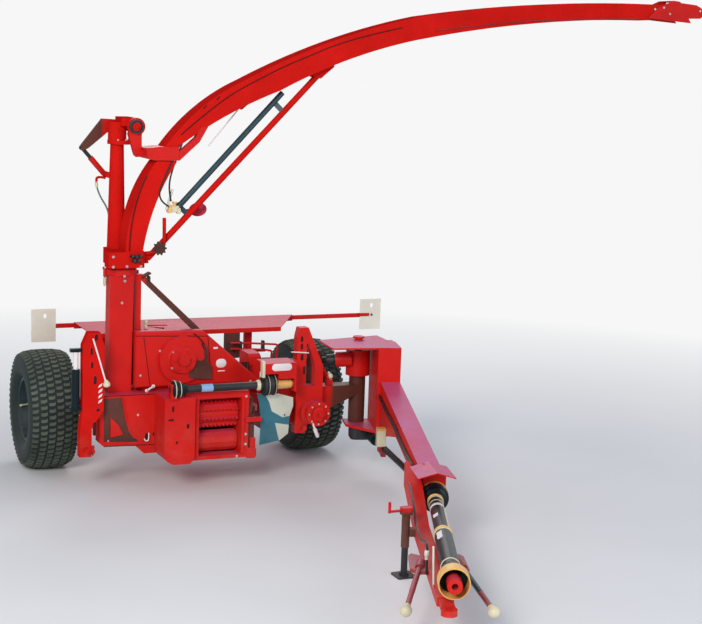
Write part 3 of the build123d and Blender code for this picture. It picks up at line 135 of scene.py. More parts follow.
# %% Three lamps
LAMPS = (
    # name, place, target, size, power, colour
    ("key", (-6.4, -5.2, 5.6), (0.0, 3.2, 0.9), 3.0, 740, (1.0, 0.965, 0.91)),
    ("fill", (5.0, -5.5, 3.4), (0.2, 3.0, 0.8), 4.5, 210, (0.92, 0.95, 1.0)),
    ("back", (2.5, 10.0, 5.5), (0.3, 3.6, 1.2), 4.0, 170, (1.0, 1.0, 1.0)))
for name, place, target, size, power, colour in LAMPS:
    data = bpy.data.lights.new(name, "AREA")
    data.size, data.energy, data.color = size, power, colour
    lamp = bpy.data.objects.new(name, data)
    bpy.context.scene.collection.objects.link(lamp)
    lamp.location = place
    lamp.rotation_euler = (Vector(target) - Vector(place)).to_track_quat("-Z", "Y").to_euler()
    print("lamp", name, power, "W")

# %% [markdown]
# ## Camera
# The machine is seen from its right front, from three metres up and more than ten metres away, so
# that the tall spout isn't stretched. The view is turned by three plain angles: to the side, down,
# and a little tilt of the horizon.

# %% Camera in front of the right wheel
EYE = (-3.606, -6.745, 2.731)
LENS, SENSOR = 80.51, 36                # millimetres
yaw, dip, roll = math.radians(24), math.radians(9), math.radians(2)
ahead = Vector((math.sin(yaw) * math.cos(dip), math.cos(yaw) * math.cos(dip), -math.sin(dip)))
across = Vector((math.cos(yaw), -math.sin(yaw), 0))
upright = across.cross(ahead)
right = math.cos(roll) * across + math.sin(roll) * upright
up = -math.sin(roll) * across + math.cos(roll) * upright
camera_data = bpy.data.cameras.new("camera")
camera_data.sensor_width, camera_data.lens = SENSOR, LENS
camera = bpy.data.objects.new("camera", camera_data)
bpy.context.scene.collection.objects.link(camera)
turned = Matrix((right, up, -ahead)).transposed()
camera.matrix_world = Matrix.Translation(EYE) @ turned.to_4x4()
bpy.context.scene.camera = camera
print("camera looks along", [round(v, 3) for v in ahead])

# %% [markdown]
# ## Shared effects
# Paint, rubber and plastic all gather dust low down, and their upward faces carry a painted sky sheen.
# Three small shader groups hold these effects, so each finish only chooses how much of each it shows.
# They could be painted by hand on each piece, but patterns read from the pieces' own places fit them all.


# %% An empty shader group
def make_group(name, inputs, outputs):
    """An empty shader group with named sockets."""
    group = bpy.data.node_groups.new(name, "ShaderNodeTree")
    for label, kind, value in inputs:
        socket = group.interface.new_socket(label, in_out="INPUT", socket_type=kind)
        if value is not None:
            socket.default_value = value
    for label, kind in outputs:
        group.interface.new_socket(label, in_out="OUTPUT", socket_type=kind)
    return group, group.nodes.new("NodeGroupInput"), group.nodes.new("NodeGroupOutput")


# %% Steps that every group and finish is built from
def noise(tree, coords, scale, detail=4.0, rough=0.55):
    """A noise pattern read at the piece's own coordinates."""
    n = tree.nodes.new("ShaderNodeTexNoise")
    n.inputs["Scale"].default_value = scale
    n.inputs["Detail"].default_value = detail
    n.inputs["Roughness"].default_value = rough
    tree.links.new(coords, n.inputs["Vector"])
    return n.outputs["Fac"]


def ramp(tree, value, low, high):
    """Maps low..high to 0..1, cut off at both ends."""
    n = tree.nodes.new("ShaderNodeMapRange")
    n.inputs["From Min"].default_value, n.inputs["From Max"].default_value = low, high
    tree.links.new(value, n.inputs["Value"])
    return n.outputs["Result"]


def maths(tree, kind, a, b):
    """One sum on two values or sockets."""
    n = tree.nodes.new("ShaderNodeMath")
    n.operation = kind
    for socket, value in zip(n.inputs, (a, b)):
        if isinstance(value, (int, float)):
            socket.default_value = value
        else:
            tree.links.new(value, socket)
    return n.outputs[0]


def blend_colours(tree, mask, first, second, kind="MIX"):
    """first where mask is 0, second where it is 1."""
    n = tree.nodes.new("ShaderNodeMix")
    n.data_type, n.blend_type = "RGBA", kind
    colours = [s for s in n.inputs if s.type == "RGBA"]
    factor = [s for s in n.inputs if s.type == "VALUE"][0]
    for socket, value in ((factor, mask), (colours[0], first), (colours[1], second)):
        if isinstance(value, (int, float)):
            socket.default_value = value
        elif isinstance(value, tuple):
            socket.default_value = (*value, 1)
        else:
            tree.links.new(value, socket)
    return [s for s in n.outputs if s.type == "RGBA"][0]


# %% Painted sky sheen: how far an area facing the sky is lightened toward pink, a painted reflection
painted_sky_sheen, gi, go = make_group("painted_sky_sheen", [("Scale", "NodeSocketFloat", 2.5)], [("Mask", "NodeSocketFloat")])
coords = painted_sky_sheen.nodes.new("ShaderNodeTexCoord").outputs["Object"]
facing = painted_sky_sheen.nodes.new("ShaderNodeSeparateXYZ")
painted_sky_sheen.links.new(painted_sky_sheen.nodes.new("ShaderNodeNewGeometry").outputs["Normal"], facing.inputs[0])
top = ramp(painted_sky_sheen, facing.outputs["Z"], 0.45, 0.98)
n = painted_sky_sheen.nodes.new("ShaderNodeTexNoise")
n.inputs["Detail"].default_value = 5.0
painted_sky_sheen.links.new(coords, n.inputs["Vector"])
painted_sky_sheen.links.new(gi.outputs["Scale"], n.inputs["Scale"])
cloudy = ramp(painted_sky_sheen, n.outputs["Fac"], 0.25, 0.70)
uneven = maths(painted_sky_sheen, "ADD", maths(painted_sky_sheen, "MULTIPLY", cloudy, 0.55), 0.45)
painted_sky_sheen.links.new(maths(painted_sky_sheen, "MULTIPLY", top, uneven), go.inputs["Mask"])
print(painted_sky_sheen.name, "with", len(painted_sky_sheen.nodes), "nodes")

# %% Road dust: thick near the ground, thin higher up, broken up by noise
road_dust, gi, go = make_group("road_dust", [("Top", "NodeSocketFloat", 0.35)], [("Mask", "NodeSocketFloat")])
coords = road_dust.nodes.new("ShaderNodeTexCoord").outputs["Object"]
height = road_dust.nodes.new("ShaderNodeSeparateXYZ")
road_dust.links.new(coords, height.inputs[0])
low_down = road_dust.nodes.new("ShaderNodeMapRange")
road_dust.links.new(height.outputs["Z"], low_down.inputs["Value"])
road_dust.links.new(gi.outputs["Top"], low_down.inputs["From Max"])
low_down.inputs["From Min"].default_value = GROUND_Z
low_down.inputs["To Min"].default_value, low_down.inputs["To Max"].default_value = 1.0, 0.0
patches = ramp(road_dust, noise(road_dust, coords, 7.0, 8.0, 0.65), 0.42, 0.68)
road_dust.links.new(maths(road_dust, "MULTIPLY", low_down.outputs["Result"], patches), go.inputs["Mask"])
print(road_dust.name, "with", len(road_dust.nodes), "nodes")

# %% Scuffs: small bare or dark scratches, strongest on moving and handled parts
scuffs, gi, go = make_group("scuffs", [("Amount", "NodeSocketFloat", 0.5)], [("Mask", "NodeSocketFloat")])
coords = scuffs.nodes.new("ShaderNodeTexCoord").outputs["Object"]
stretched = scuffs.nodes.new("ShaderNodeMapping")
stretched.inputs["Scale"].default_value = (1.0, 1.0, 3.2)
scuffs.links.new(coords, stretched.inputs["Vector"])
fine = ramp(scuffs, noise(scuffs, stretched.outputs["Vector"], 46.0, 6.0, 0.72), 0.62, 0.70)
broad = ramp(scuffs, noise(scuffs, coords, 5.0, 3.0, 0.5), 0.48, 0.62)
scratched = maths(scuffs, "MULTIPLY", fine, broad)
scuffs.links.new(maths(scuffs, "MULTIPLY", scratched, gi.outputs["Amount"]), go.inputs["Mask"])
print(scuffs.name, "with", len(scuffs.nodes), "nodes")


# %% [markdown]
# ## One recipe for all finishes
# Each finish is one material: a base colour, the groups that age it and paint a sky sheen on it, and
# a bump that gives the surface its grain. Red enamel wears off to a brown primer, and its level faces
# carry a painted pink sky sheen. One recipe serves paint, cast iron, rubber and plastic, because they age in
# the same ways.


# %% One recipe for painted, cast, rubber and plastic surfaces
# Brown: bare primer on some pieces, painted shade on others.
PRIMER_AND_SHADE_BROWN = (0.105, 0.034, 0.024)


def finish(name, colour, sheen_colour=None, sheen=0.0, dust=0.0, scuff=0.0, bare=(0.16, 0.10, 0.09), rough=0.4,
           metal=0.0, coat=0.0, grain=60.0, bump=0.1, mottled=0.12, dust_top=0.35,
           dust_colour=(0.30, 0.24, 0.18), shine=0.5, sheen_zone=None, primer_and_shade_zone=None):
    """A material with cloudy colour, a painted sky sheen on upward faces, dust, scuffs and a fine grain. A
    zone is an axis and the two places on it, in metres, between which its effect grows from nothing to full."""
    material = bpy.data.materials.new(name)
    material.use_nodes = True
    tree = material.node_tree
    shader = tree.nodes["Principled BSDF"]
    coords = tree.nodes.new("ShaderNodeTexCoord").outputs["Object"]
    clouds = ramp(tree, noise(tree, coords, 4.0, 5.0), 0.3, 0.7)
    dark = tuple(c * (1 - 2.2 * mottled) for c in colour)
    base = blend_colours(tree, clouds, dark, tuple(min(1, c * (1 + mottled)) for c in colour))
    axes = tree.nodes.new("ShaderNodeSeparateXYZ")
    tree.links.new(coords, axes.inputs[0])
    # Painted sky sheen: upward faces lightened toward the sheen colour, a painted reflection of the sky.
    if sheen:
        group = tree.nodes.new("ShaderNodeGroup")
        group.node_tree = painted_sky_sheen
        mask = maths(tree, "MULTIPLY", group.outputs["Mask"], sheen)
        if sheen_zone:
            mask = maths(tree, "MULTIPLY", mask, ramp(tree, axes.outputs[sheen_zone[0]], *sheen_zone[1:]))
        base = blend_colours(tree, mask, base, sheen_colour)
    # Brown band along one axis: painted shade on the frame, plain brown on tower, lift arm and jack.
    if primer_and_shade_zone:
        base = blend_colours(tree, ramp(tree, axes.outputs[primer_and_shade_zone[0]], *primer_and_shade_zone[1:]), base, PRIMER_AND_SHADE_BROWN)
    if scuff:
        group = tree.nodes.new("ShaderNodeGroup")
        group.node_tree = scuffs
        group.inputs["Amount"].default_value = scuff
        base = blend_colours(tree, group.outputs["Mask"], base, bare)
    if dust:
        group = tree.nodes.new("ShaderNodeGroup")
        group.node_tree = road_dust
        group.inputs["Top"].default_value = dust_top
        base = blend_colours(tree, maths(tree, "MULTIPLY", group.outputs["Mask"], dust), base, dust_colour)
    tree.links.new(base, shader.inputs["Base Color"])
    fine = noise(tree, coords, grain, 6.0, 0.6)
    worn = ramp(tree, fine, 0.2, 0.8)
    spread = maths(tree, "ADD", maths(tree, "MULTIPLY", worn, 0.16), rough - 0.08)
    tree.links.new(spread, shader.inputs["Roughness"])
    shader.inputs["Metallic"].default_value = metal
    shader.inputs["Coat Weight"].default_value = coat
    shader.inputs["Specular IOR Level"].default_value = shine
    shader.inputs["Coat Roughness"].default_value = 0.18
    bumped = tree.nodes.new("ShaderNodeBump")
    bumped.inputs["Strength"].default_value = bump
    bumped.inputs["Distance"].default_value = 0.002
    tree.links.new(fine, bumped.inputs["Height"])
    tree.links.new(bumped.outputs["Normal"], shader.inputs["Normal"])
    return material

# %% [markdown]
# ## The machine's finishes
# Eight finishes share one enamel and differ only in how much painted sky sheen its level faces carry
# and where a brown band is painted in: painted shade on the frame, plain brown on the tower, the lift
# arm and the jack. The others are rubber, cast iron, zinc, plastic and small labels. They stand in
# one table, because a table shows at a glance how the finishes differ.

# %% Recipes
ENAMEL = dict(colour=(0.62, 0.012, 0.009), sheen_colour=(0.50, 0.105, 0.26), dust=0.25, scuff=0.35, rough=0.44,
              grain=22.0, bump=0.02, mottled=0.06, shine=0.15)
RECIPES = {
    # Upward faces get a painted pink sky sheen; its share differs from finish to finish.
    "red_enamel": dict(ENAMEL, sheen=0.40),
    "red_spout": dict(ENAMEL, shine=0.0),
    # These two wear the painted sky sheen in full on upward faces, the first only above a height on the beam.
    "red_zoned_sheen": dict(ENAMEL, sheen=1.0, sheen_zone=("Z", 0.238, 0.256)),
    "red_full_sheen": dict(ENAMEL, sheen=1.0),
    # The frame's brown band is painted shade; the tower's brace, the lift arm and the jack turn plain brown
    # past their zones.
    "red_frame": dict(ENAMEL, sheen=0.3, primer_and_shade_zone=("X", 0.83, 0.87)),
    "red_tower": dict(ENAMEL, sheen=0.3, primer_and_shade_zone=("X", -0.51, -0.49)),
    "red_arm": dict(ENAMEL, sheen=0.3, primer_and_shade_zone=("X", -0.745, -0.775)),
    "red_jack": dict(ENAMEL, sheen=0.2, primer_and_shade_zone=("Z", 0.135, 0.115)),
    "red_worn": dict(colour=(0.34, 0.012, 0.012), sheen_colour=(0.42, 0.16, 0.22), sheen=0.5, dust=0.6, scuff=0.8,
                     rough=0.45, grain=55.0, bump=0.15, mottled=0.16, shine=0.3),
    # Brown: painted shade on the blower pocket and the drum wedge, plain brown on the other pieces.
    "brown_primer_and_shade": dict(colour=PRIMER_AND_SHADE_BROWN, scuff=0.6, bare=(0.22, 0.09, 0.06), rough=0.62, grain=70.0, bump=0.22,
                       mottled=0.22, shine=0.25),
    # The tyre's upward faces are lightened by the same painted sky sheen.
    "tyre_rubber": dict(colour=(0.014, 0.024, 0.024), sheen_colour=(0.075, 0.09, 0.075), sheen=0.35, dust=0.3,
                        rough=0.68, grain=120.0, bump=0.25, dust_top=0.30, dust_colour=(0.05, 0.06, 0.05),
                        shine=0.3),
    # The blocks are lighter than the carcass and carry pale olive scuffs: dust on their tops, and painted
    # highlights where light catches them.
    "tread_rubber": dict(colour=(0.085, 0.108, 0.082), scuff=1.0, bare=(0.30, 0.31, 0.22), rough=0.72,
                         grain=90.0, bump=0.3, mottled=0.3, shine=0.3),
    "rim_dark": dict(colour=(0.022, 0.042, 0.052), scuff=0.8, bare=(0.12, 0.16, 0.18), dust=0.4, rough=0.45,
                     grain=60.0, bump=0.1, mottled=0.25, shine=0.4),
    "cast_dark": dict(colour=(0.030, 0.030, 0.033), scuff=0.5, bare=(0.16, 0.10, 0.08), rough=0.5, metal=0.2,
                      grain=150.0, bump=0.3, mottled=0.25, shine=0.35),
    # Blue-grey zinc is a painted sky reflection; the pale zinc is bright zinc on rods and fittings and a
    # painted sun glare on the shield.
    "zinc_sheet": dict(colour=(0.040, 0.20, 0.27), scuff=0.35, bare=(0.34, 0.36, 0.34), rough=0.42, metal=0.3,
                       grain=22.0, bump=0.05, mottled=0.2, dust=0.2),
    "zinc_bright": dict(colour=(0.62, 0.64, 0.54), scuff=0.4, bare=(0.30, 0.34, 0.34), rough=0.45, metal=0.2,
                        grain=22.0, bump=0.05, mottled=0.08),
    "yellow_plastic": dict(colour=(0.84, 0.48, 0.13), scuff=0.8, bare=(0.25, 0.10, 0.05), rough=0.45,
                           grain=80.0, bump=0.08, mottled=0.16),
    "black_plastic": dict(colour=(0.003, 0.012, 0.017), rough=0.34, grain=90.0, bump=0.05, scuff=0.25,
                          bare=(0.04, 0.09, 0.10), shine=0.18),
    "hose_rubber": dict(colour=(0.010, 0.012, 0.014), rough=0.34, grain=240.0, bump=0.12, shine=0.35),
    "hose_green": dict(colour=(0.10, 0.20, 0.15), scuff=1.0, bare=(0.5, 0.45, 0.25), rough=0.4, grain=120.0,
                       bump=0.08, mottled=0.3),
    "cream_plastic": dict(colour=(0.68, 0.63, 0.44), scuff=0.5, bare=(0.20, 0.22, 0.14), rough=0.4,
                          grain=70.0, bump=0.06, mottled=0.1),
    "board_white": dict(colour=(0.86, 0.82, 0.70), scuff=0.4, bare=(0.44, 0.36, 0.28), rough=0.55, grain=50.0,
                        bump=0.06, mottled=0.05),
    "label_white": dict(colour=(0.84, 0.78, 0.78), scuff=0.5, bare=(0.60, 0.20, 0.20), rough=0.5, grain=60.0,
                        bump=0.03, mottled=0.06),
    "label_blue": dict(colour=(0.26, 0.46, 0.74), scuff=0.6, bare=(0.60, 0.66, 0.70), rough=0.45, grain=60.0,
                       bump=0.03, mottled=0.1),
    "bolt_steel": dict(colour=(0.62, 0.50, 0.48), scuff=0.8, bare=(0.42, 0.12, 0.10), rough=0.35, metal=0.4,
                       grain=160.0, bump=0.12, mottled=0.14),
    # Dark: real joints between panels, and painted shade in holes, slots and the louvre's openings.
    "seam_dark": dict(colour=(0.045, 0.008, 0.008), rough=0.75, grain=90.0, bump=0.1, mottled=0.2, shine=0.2),
    "shadow_black": dict(colour=(0.010, 0.008, 0.008), rough=0.8, grain=40.0, bump=0.3, mottled=0.3,
                         shine=0.15),
    "blue_black_tube": dict(colour=(0.010, 0.048, 0.066), rough=0.28, coat=0.1, grain=60.0, bump=0.05,
                            mottled=0.2, shine=0.4)}
FINISH = {name: finish(name, **recipe) for name, recipe in RECIPES.items()}
print("finishes", len(FINISH))

# %% [markdown]
# ## Which piece wears what
# The record gives every CAD piece a slot, such as red paint or galvanised. A slot's first finish is
# its plain one, and a few pieces wear another: level faces with a full painted sky sheen, brown bands
# (painted shade on the frame), a brown roll arm, and rails that have lost their red.

# %% Slots, and every CAD node gets its finish
SLOT_FINISHES = {
    "red_paint": ("red_enamel", "brown_primer_and_shade", "red_worn", "red_spout", "red_full_sheen"),
    "rim_paint": ("rim_dark",), "tyre_rubber": ("tyre_rubber", "tread_rubber"),
    "dark_metal": ("cast_dark", "seam_dark", "shadow_black"),
    "galvanised": ("zinc_sheet", "zinc_bright", "bolt_steel"),
    "yellow_guard": ("yellow_plastic", "cream_plastic"),
    "black_guard": ("black_plastic", "hose_rubber", "hose_green"),
    "board_paint": ("board_white", "label_white", "label_blue"), "ram_paint": ("blue_black_tube",)}
# drawbar_head, shaft_roof and drawbar_beam wear the painted sky sheen in full; the frame's brown band is
# painted shade.
SPECIAL = {
    "main_frame": "red_frame", "tower": "red_tower", "lift_arm": "red_arm", "jack_tube": "red_jack",
    "drawbar_head": "red_full_sheen", "shaft_roof": "red_full_sheen", "drawbar_beam": "red_zoned_sheen",
    "roll_arm": "brown_primer_and_shade", "guide_rods": "red_worn", "upper_spout": "red_spout",
    "lower_spout": "red_spout", "turning_base": "red_spout", "mast": "red_spout",
    "header_post_right": "red_spout", "strut": "red_spout"}
for row in frame["record"]["subparts"]:
    coat = FINISH[SPECIAL.get(row["node"], SLOT_FINISHES[row["material_slot"]][0])]
    sheet = frame["nodes"][row["node"]].data
    sheet.materials.clear()
    sheet.materials.append(coat)
print("nodes finished", len(frame["nodes"]))

# %% [markdown]
# ## Floor finish
# The floor is a pale matt sheet that keeps the object's shadow. Farther out it melts into the
# backdrop: there the camera sees the same plain white that the sky shows it. A curved backdrop
# sheet would do as well, but it would have to be very large behind so tall a spout.

# %% Floor material
CLEAR_AT, GONE_AT = 3.2, 9.0            # metres from the machine where the floor's fade starts and ends
MIDDLE = (0.2, 2.8, GROUND_Z)
pale = bpy.data.materials.new("pale_floor")
pale.use_nodes = True
tree = pale.node_tree
shader = tree.nodes["Principled BSDF"]
shader.inputs["Roughness"].default_value = 0.9
coords = tree.nodes.new("ShaderNodeTexCoord").outputs["Object"]
soft = ramp(tree, noise(tree, coords, 0.6, 3.0), 0.3, 0.7)
tree.links.new(blend_colours(tree, soft, (0.76, 0.77, 0.78), (0.80, 0.81, 0.82)), shader.inputs["Base Color"])
away = tree.nodes.new("ShaderNodeVectorMath")
away.operation = "DISTANCE"
away.inputs[1].default_value = MIDDLE
tree.links.new(coords, away.inputs[0])
seen = tree.nodes.new("ShaderNodeLightPath").outputs["Is Camera Ray"]
gone = maths(tree, "MULTIPLY", ramp(tree, away.outputs["Value"], CLEAR_AT, GONE_AT), seen)
white = tree.nodes.new("ShaderNodeEmission")
white.inputs["Color"].default_value = (1, 1, 1, 1)
white.inputs["Strength"].default_value = BACKDROP_LEVEL
melt = tree.nodes.new("ShaderNodeMixShader")
tree.links.new(gone, melt.inputs["Fac"])
tree.links.new(shader.outputs["BSDF"], melt.inputs[1])
tree.links.new(white.outputs["Emission"], melt.inputs[2])
tree.links.new(melt.outputs["Shader"], tree.nodes["Material Output"].inputs["Surface"])
floor.data.materials.append(pale)
print("floor fades from", CLEAR_AT, "to", GONE_AT, "m")

# %% [markdown]
# ## A small kit of moves
# Small parts of a machine come in a few families: folded or sawn blocks, turned rings and pins,
# bent tubes, cut plates and bolt heads. Each could be drawn anew, but one helper for a family starts
# from a primitive, shapes it in edit mode as by hand, and gives all of them the same broken edges.
# `finished` ends each piece: its place goes into its mesh, it gets a finish, and it hangs on the
# body that it moves with.


# %% Starting and finishing a piece
def alone():
    """Object mode with nothing selected."""
    if bpy.context.mode != "OBJECT":
        bpy.ops.object.mode_set(mode="OBJECT")
    bpy.ops.object.select_all(action="DESELECT")


def all_in_edit_mode():
    """Edit mode with all of the active piece selected."""
    bpy.ops.object.mode_set(mode="EDIT")
    bpy.ops.mesh.select_all(action="SELECT")


def closed_outward():
    """Ends edit mode with every face of the piece pointing outwards."""
    bpy.ops.mesh.select_all(action="SELECT")
    bpy.ops.mesh.normals_make_consistent(inside=False)
    bpy.ops.object.mode_set(mode="OBJECT")
    return bpy.context.object


def finished(name, look, body, *stands_for, angle=35):
    """Bakes the active object's place into its mesh, finishes it and hangs it on its body."""
    piece = bpy.context.object
    bpy.ops.object.transform_apply(location=True, rotation=True, scale=True)
    piece.name = piece.data.name = name
    looks = look.split()
    for label in looks:
        if label not in piece.data.materials:
            piece.data.materials.append(FINISH[label])
    bpy.ops.object.shade_smooth_by_angle(angle=math.radians(angle))
    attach(piece, body)
    if stands_for:
        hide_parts(*stands_for)
    print(name, "with", len(piece.data.polygons), "faces, on", body)
    return piece


# %% Blocks
def block(centre, size, edge=2.0, turn=(0, 0, 0)):
    """A block with broken edges; millimetres and degrees."""
    alone()
    bpy.ops.mesh.primitive_cube_add(size=1, location=at(*centre), rotation=[math.radians(a) for a in turn])
    bpy.context.object.scale = [s / 1000 for s in size]
    bpy.ops.object.transform_apply(location=False, rotation=False, scale=True)
    all_in_edit_mode()
    bpy.ops.mesh.bevel(offset=edge / 1000, segments=1, affect="EDGES")
    bpy.ops.object.mode_set(mode="OBJECT")
    return bpy.context.object


# %% Turned parts
def turned_part(rows, foot, way, sides=28):
    """A disc drawn out ring by ring: rows of distance and radius in millimetres along a line that
    starts at the foot, a place in metres."""
    alone()
    (start, radius), *others = [(d / 1000, r / 1000) for d, r in rows]
    bpy.ops.mesh.primitive_circle_add(vertices=sides, radius=radius, fill_type="NGON", location=(0, 0, start))
    bpy.ops.object.transform_apply(location=True, rotation=False, scale=False)
    all_in_edit_mode()
    for far, wide in others:
        bpy.ops.mesh.extrude_region_move(TRANSFORM_OT_translate={"value": (0, 0, far - start)})
        bpy.ops.transform.resize(value=(wide / radius, wide / radius, 1), center_override=(0, 0, far))
        start, radius = far, wide
    bpy.ops.mesh.select_all(action="SELECT")
    bpy.ops.mesh.remove_doubles(threshold=0.0002)
    piece = closed_outward()
    piece.location, piece.rotation_euler = foot, way.to_track_quat("Z", "Y").to_euler()
    return piece


# %% Joining, copying and setting round a circle
def joined(pieces):
    """Several objects made one."""
    alone()
    for piece in pieces:
        piece.select_set(True)
    bpy.context.view_layer.objects.active = pieces[0]
    if len(pieces) > 1:
        bpy.ops.object.join()
    return bpy.context.object


def copied(piece, moves):
    """The piece and a copy of it at each move, in millimetres, joined."""
    whole = [piece]
    for move in moves:
        alone()
        piece.select_set(True)
        bpy.context.view_layer.objects.active = piece
        bpy.ops.object.duplicate(linked=False)
        bpy.context.object.location = piece.location + Vector(move) / 1000
        whole.append(bpy.context.object)
    return joined(whole)


def set_round(piece, count, centre, axis):
    """The active piece repeated round an axis until count of it fill the circle, in one mesh."""
    all_in_edit_mode()
    bpy.ops.mesh.spin(steps=count - 1, dupli=True, angle=2 * math.pi * (count - 1) / count, center=centre,
                      axis=axis)
    bpy.ops.object.mode_set(mode="OBJECT")
    return piece


def circle_of(centre, radius, count, first=0, plane="XZ"):
    """Places round a circle in a plane; first is the angle of the first one in degrees."""
    across, upward = ("XYZ".index(letter) for letter in plane)
    places = [list(centre) for _ in range(count)]
    for i, place in enumerate(places):
        angle = math.radians(first + 360 * i / count)
        place[across] += radius * math.cos(angle)
        place[upward] += radius * math.sin(angle)
    return places


# %% Bolt heads
def bolts(name, body, size, places, facing=FORWARD, look="bolt_steel"):
    """Hexagon heads on washers: the first one is made and the others are copied."""
    rows = ((-0.5 * size, size * 1.35), (0.2 * size, size * 1.35), (0.2 * size, size), (0.85 * size, size),
            (size, size * 0.8))
    first = turned_part(rows, at(*places[0]), facing, sides=6)
    start = Vector(places[0])
    copied(first, [Vector(place) - start for place in places[1:]])
    return finished(name, look, body, angle=20)


# %% Tubes
def tube(points, radius, name, look, body):
    """A bent tube along a smooth line through given places, in millimetres."""
    alone()
    curve = bpy.data.curves.new(name, "CURVE")
    curve.dimensions = "3D"
    line = curve.splines.new("NURBS")
    line.points.add(len(points) - 1)
    for knot, place in zip(line.points, points):
        knot.co = (*at(*place), 1)
    line.order_u, line.resolution_u, line.use_endpoint_u = 3, 6, True
    curve.bevel_depth, curve.bevel_resolution, curve.use_fill_caps = radius / 1000, 3, True
    piece = bpy.data.objects.new(name, curve)
    bpy.context.scene.collection.objects.link(piece)
    piece.select_set(True)
    bpy.context.view_layer.objects.active = piece
    bpy.ops.object.convert(target="MESH")
    bpy.ops.object.mode_set(mode="EDIT")
    closed_outward()
    return finished(name, look, body)


def flat(y, pairs):
    """Places that share one Y, from pairs of X and Z."""
    return [(x, y, z) for x, z in pairs]


# %% Plates and holes
FRONT = (90, 0, 0)          # a plate's turn that makes it look forward, with its X to the left


def plate(outline, depth, place, edge=0.6):
    """A cut plate: a disc whose corners are moved to the outline, then given its thickness.
    The outline lies in the plate's own X and Y, in millimetres; its front looks forward."""
    alone()
    bpy.ops.mesh.primitive_circle_add(vertices=len(outline), radius=0.1, fill_type="NGON", location=(0, 0, 0))
    piece = bpy.context.object
    for corner, (x, y) in zip(piece.data.vertices, outline):
        corner.co = (x / 1000, y / 1000, 0)
    all_in_edit_mode()
    bpy.ops.mesh.extrude_region_move(TRANSFORM_OT_translate={"value": (0, 0, depth / 1000)})
    bpy.ops.mesh.inset(thickness=edge / 1000, depth=edge / 2000)
    closed_outward()
    piece.location, piece.rotation_euler = at(*place), [math.radians(a) for a in FRONT]
    return piece


def oval(width, height, count=16):
    """The outline of a rounded slot."""
    r = min(width, height) / 2
    points = []
    for i in range(count):
        a = 2 * math.pi * i / count + math.pi / count
        x, y = r * math.cos(a), r * math.sin(a)
        points.append((x + math.copysign(width / 2 - r, x), y + math.copysign(height / 2 - r, y)))
    return points


def hole(place, width, height):
    """A hole with a rolled lip: the floor inside the lip has the second finish of the piece, a dark painted
    shade for the hole's unlit inside.
    """
    lip = 2.5
    piece = plate(oval(width + 2 * lip, height + 2 * lip), 2.0, place, edge=lip)
    bpy.ops.object.mode_set(mode="EDIT")
    bpy.ops.mesh.select_all(action="DESELECT")
    bpy.ops.object.mode_set(mode="OBJECT")
    inner = max(piece.data.polygons, key=lambda face: face.center.z)
    inner.select = True
    for corner in piece.data.vertices:
        corner.select = corner.index in inner.vertices
    bpy.ops.object.mode_set(mode="EDIT")
    inward = {"value": (0, 0, -0.0022), "orient_type": "LOCAL"}
    bpy.ops.mesh.extrude_region_move(TRANSFORM_OT_translate=inward)
    bpy.ops.object.mode_set(mode="OBJECT")
    for label in ("red_enamel", "seam_dark"):
        piece.data.materials.append(FINISH[label])
    for face in piece.data.polygons:
        face.material_index = int(face.select)
    return piece


def holes(name, rows):
    """Several holes in a red sheet of the chassis: rows of place, width and height."""
    joined([hole(*row) for row in rows])
    return finished(name, "red_enamel seam_dark", "chassis")

# %% [markdown]
# ## Tyres
# A farm tyre is a thick carcass with rows of rubber blocks moulded on it. The carcass is a ring
# section turned about the axle. One curved block is cut from a cube, set across the crown in six
# rows with every second row half a step behind, and that slice is spun right round the wheel. A
# bump pattern would be lighter, but the blocks' edges show against the floor and the sky.

# %% Tyre sizes from the CAD tyre
low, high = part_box("tyre_right")
AXLE = (Vector(low) + Vector(high)) / 2         # centre of the right wheel
TYRE_R = (high[2] - low[2]) / 2
TRACK = HITCH.x - AXLE.x                        # from the middle of the machine to a wheel
LUG_H, LUG_LONG, LUG_WIDE, LUG_ROOT = 0.012, 0.027, 0.050, 0.006
LUG_SINK = 0.0045                               # how far the blocks' tops stay below the tyre's outline
LUG_STEPS = 58
LUG_ROWS = (                                    # place across, depth below the crown, lean in degrees
    (-0.143, 0.0175, -27), (-0.087, 0.0035, -9), (-0.029, 0.0, -2),
    (0.029, 0.0, 2), (0.087, 0.0035, 9), (0.143, 0.0175, 27))
CARCASS = (                                     # distance across and radius, from bead to bead
    (-122, 223), (-122, 237), (-148, 246), (-163, 268), (-171, 276), (-175, 300), (-174, 345),
    (-169, 378), (-155, 402), (-125, 415), (-70, 421), (0, 423), (70, 421), (125, 415), (155, 402),
    (169, 378), (174, 345), (175, 300), (171, 276), (163, 268), (148, 246), (122, 237), (122, 223))
print("tyre radius", round(TYRE_R, 4), "m, wheels at", round(TRACK, 3), "m from the middle")


# %% Carcass
def carcass(centre):
    """The tyre's body: an open ring drawn across the section, then closed along the beads."""
    alone()
    start, bead_r = CARCASS[0]
    bpy.ops.mesh.primitive_circle_add(vertices=72, radius=bead_r / 1000, fill_type="NOTHING")
    all_in_edit_mode()
    for (x0, r0), (x1, r1) in zip(CARCASS, CARCASS[1:] + CARCASS[:1]):
        bpy.ops.mesh.extrude_region_move(TRANSFORM_OT_translate={"value": (0, 0, (x1 - x0) / 1000)})
        bpy.ops.transform.resize(value=(r1 / r0, r1 / r0, 1))
    bpy.ops.mesh.select_all(action="SELECT")
    bpy.ops.mesh.remove_doubles(threshold=0.0001)
    body = closed_outward()
    body.rotation_euler = (0, math.radians(90), 0)
    body.location = centre + Vector((start / 1000, 0, 0))
    bpy.ops.object.transform_apply(location=True, rotation=True, scale=True)
    return body


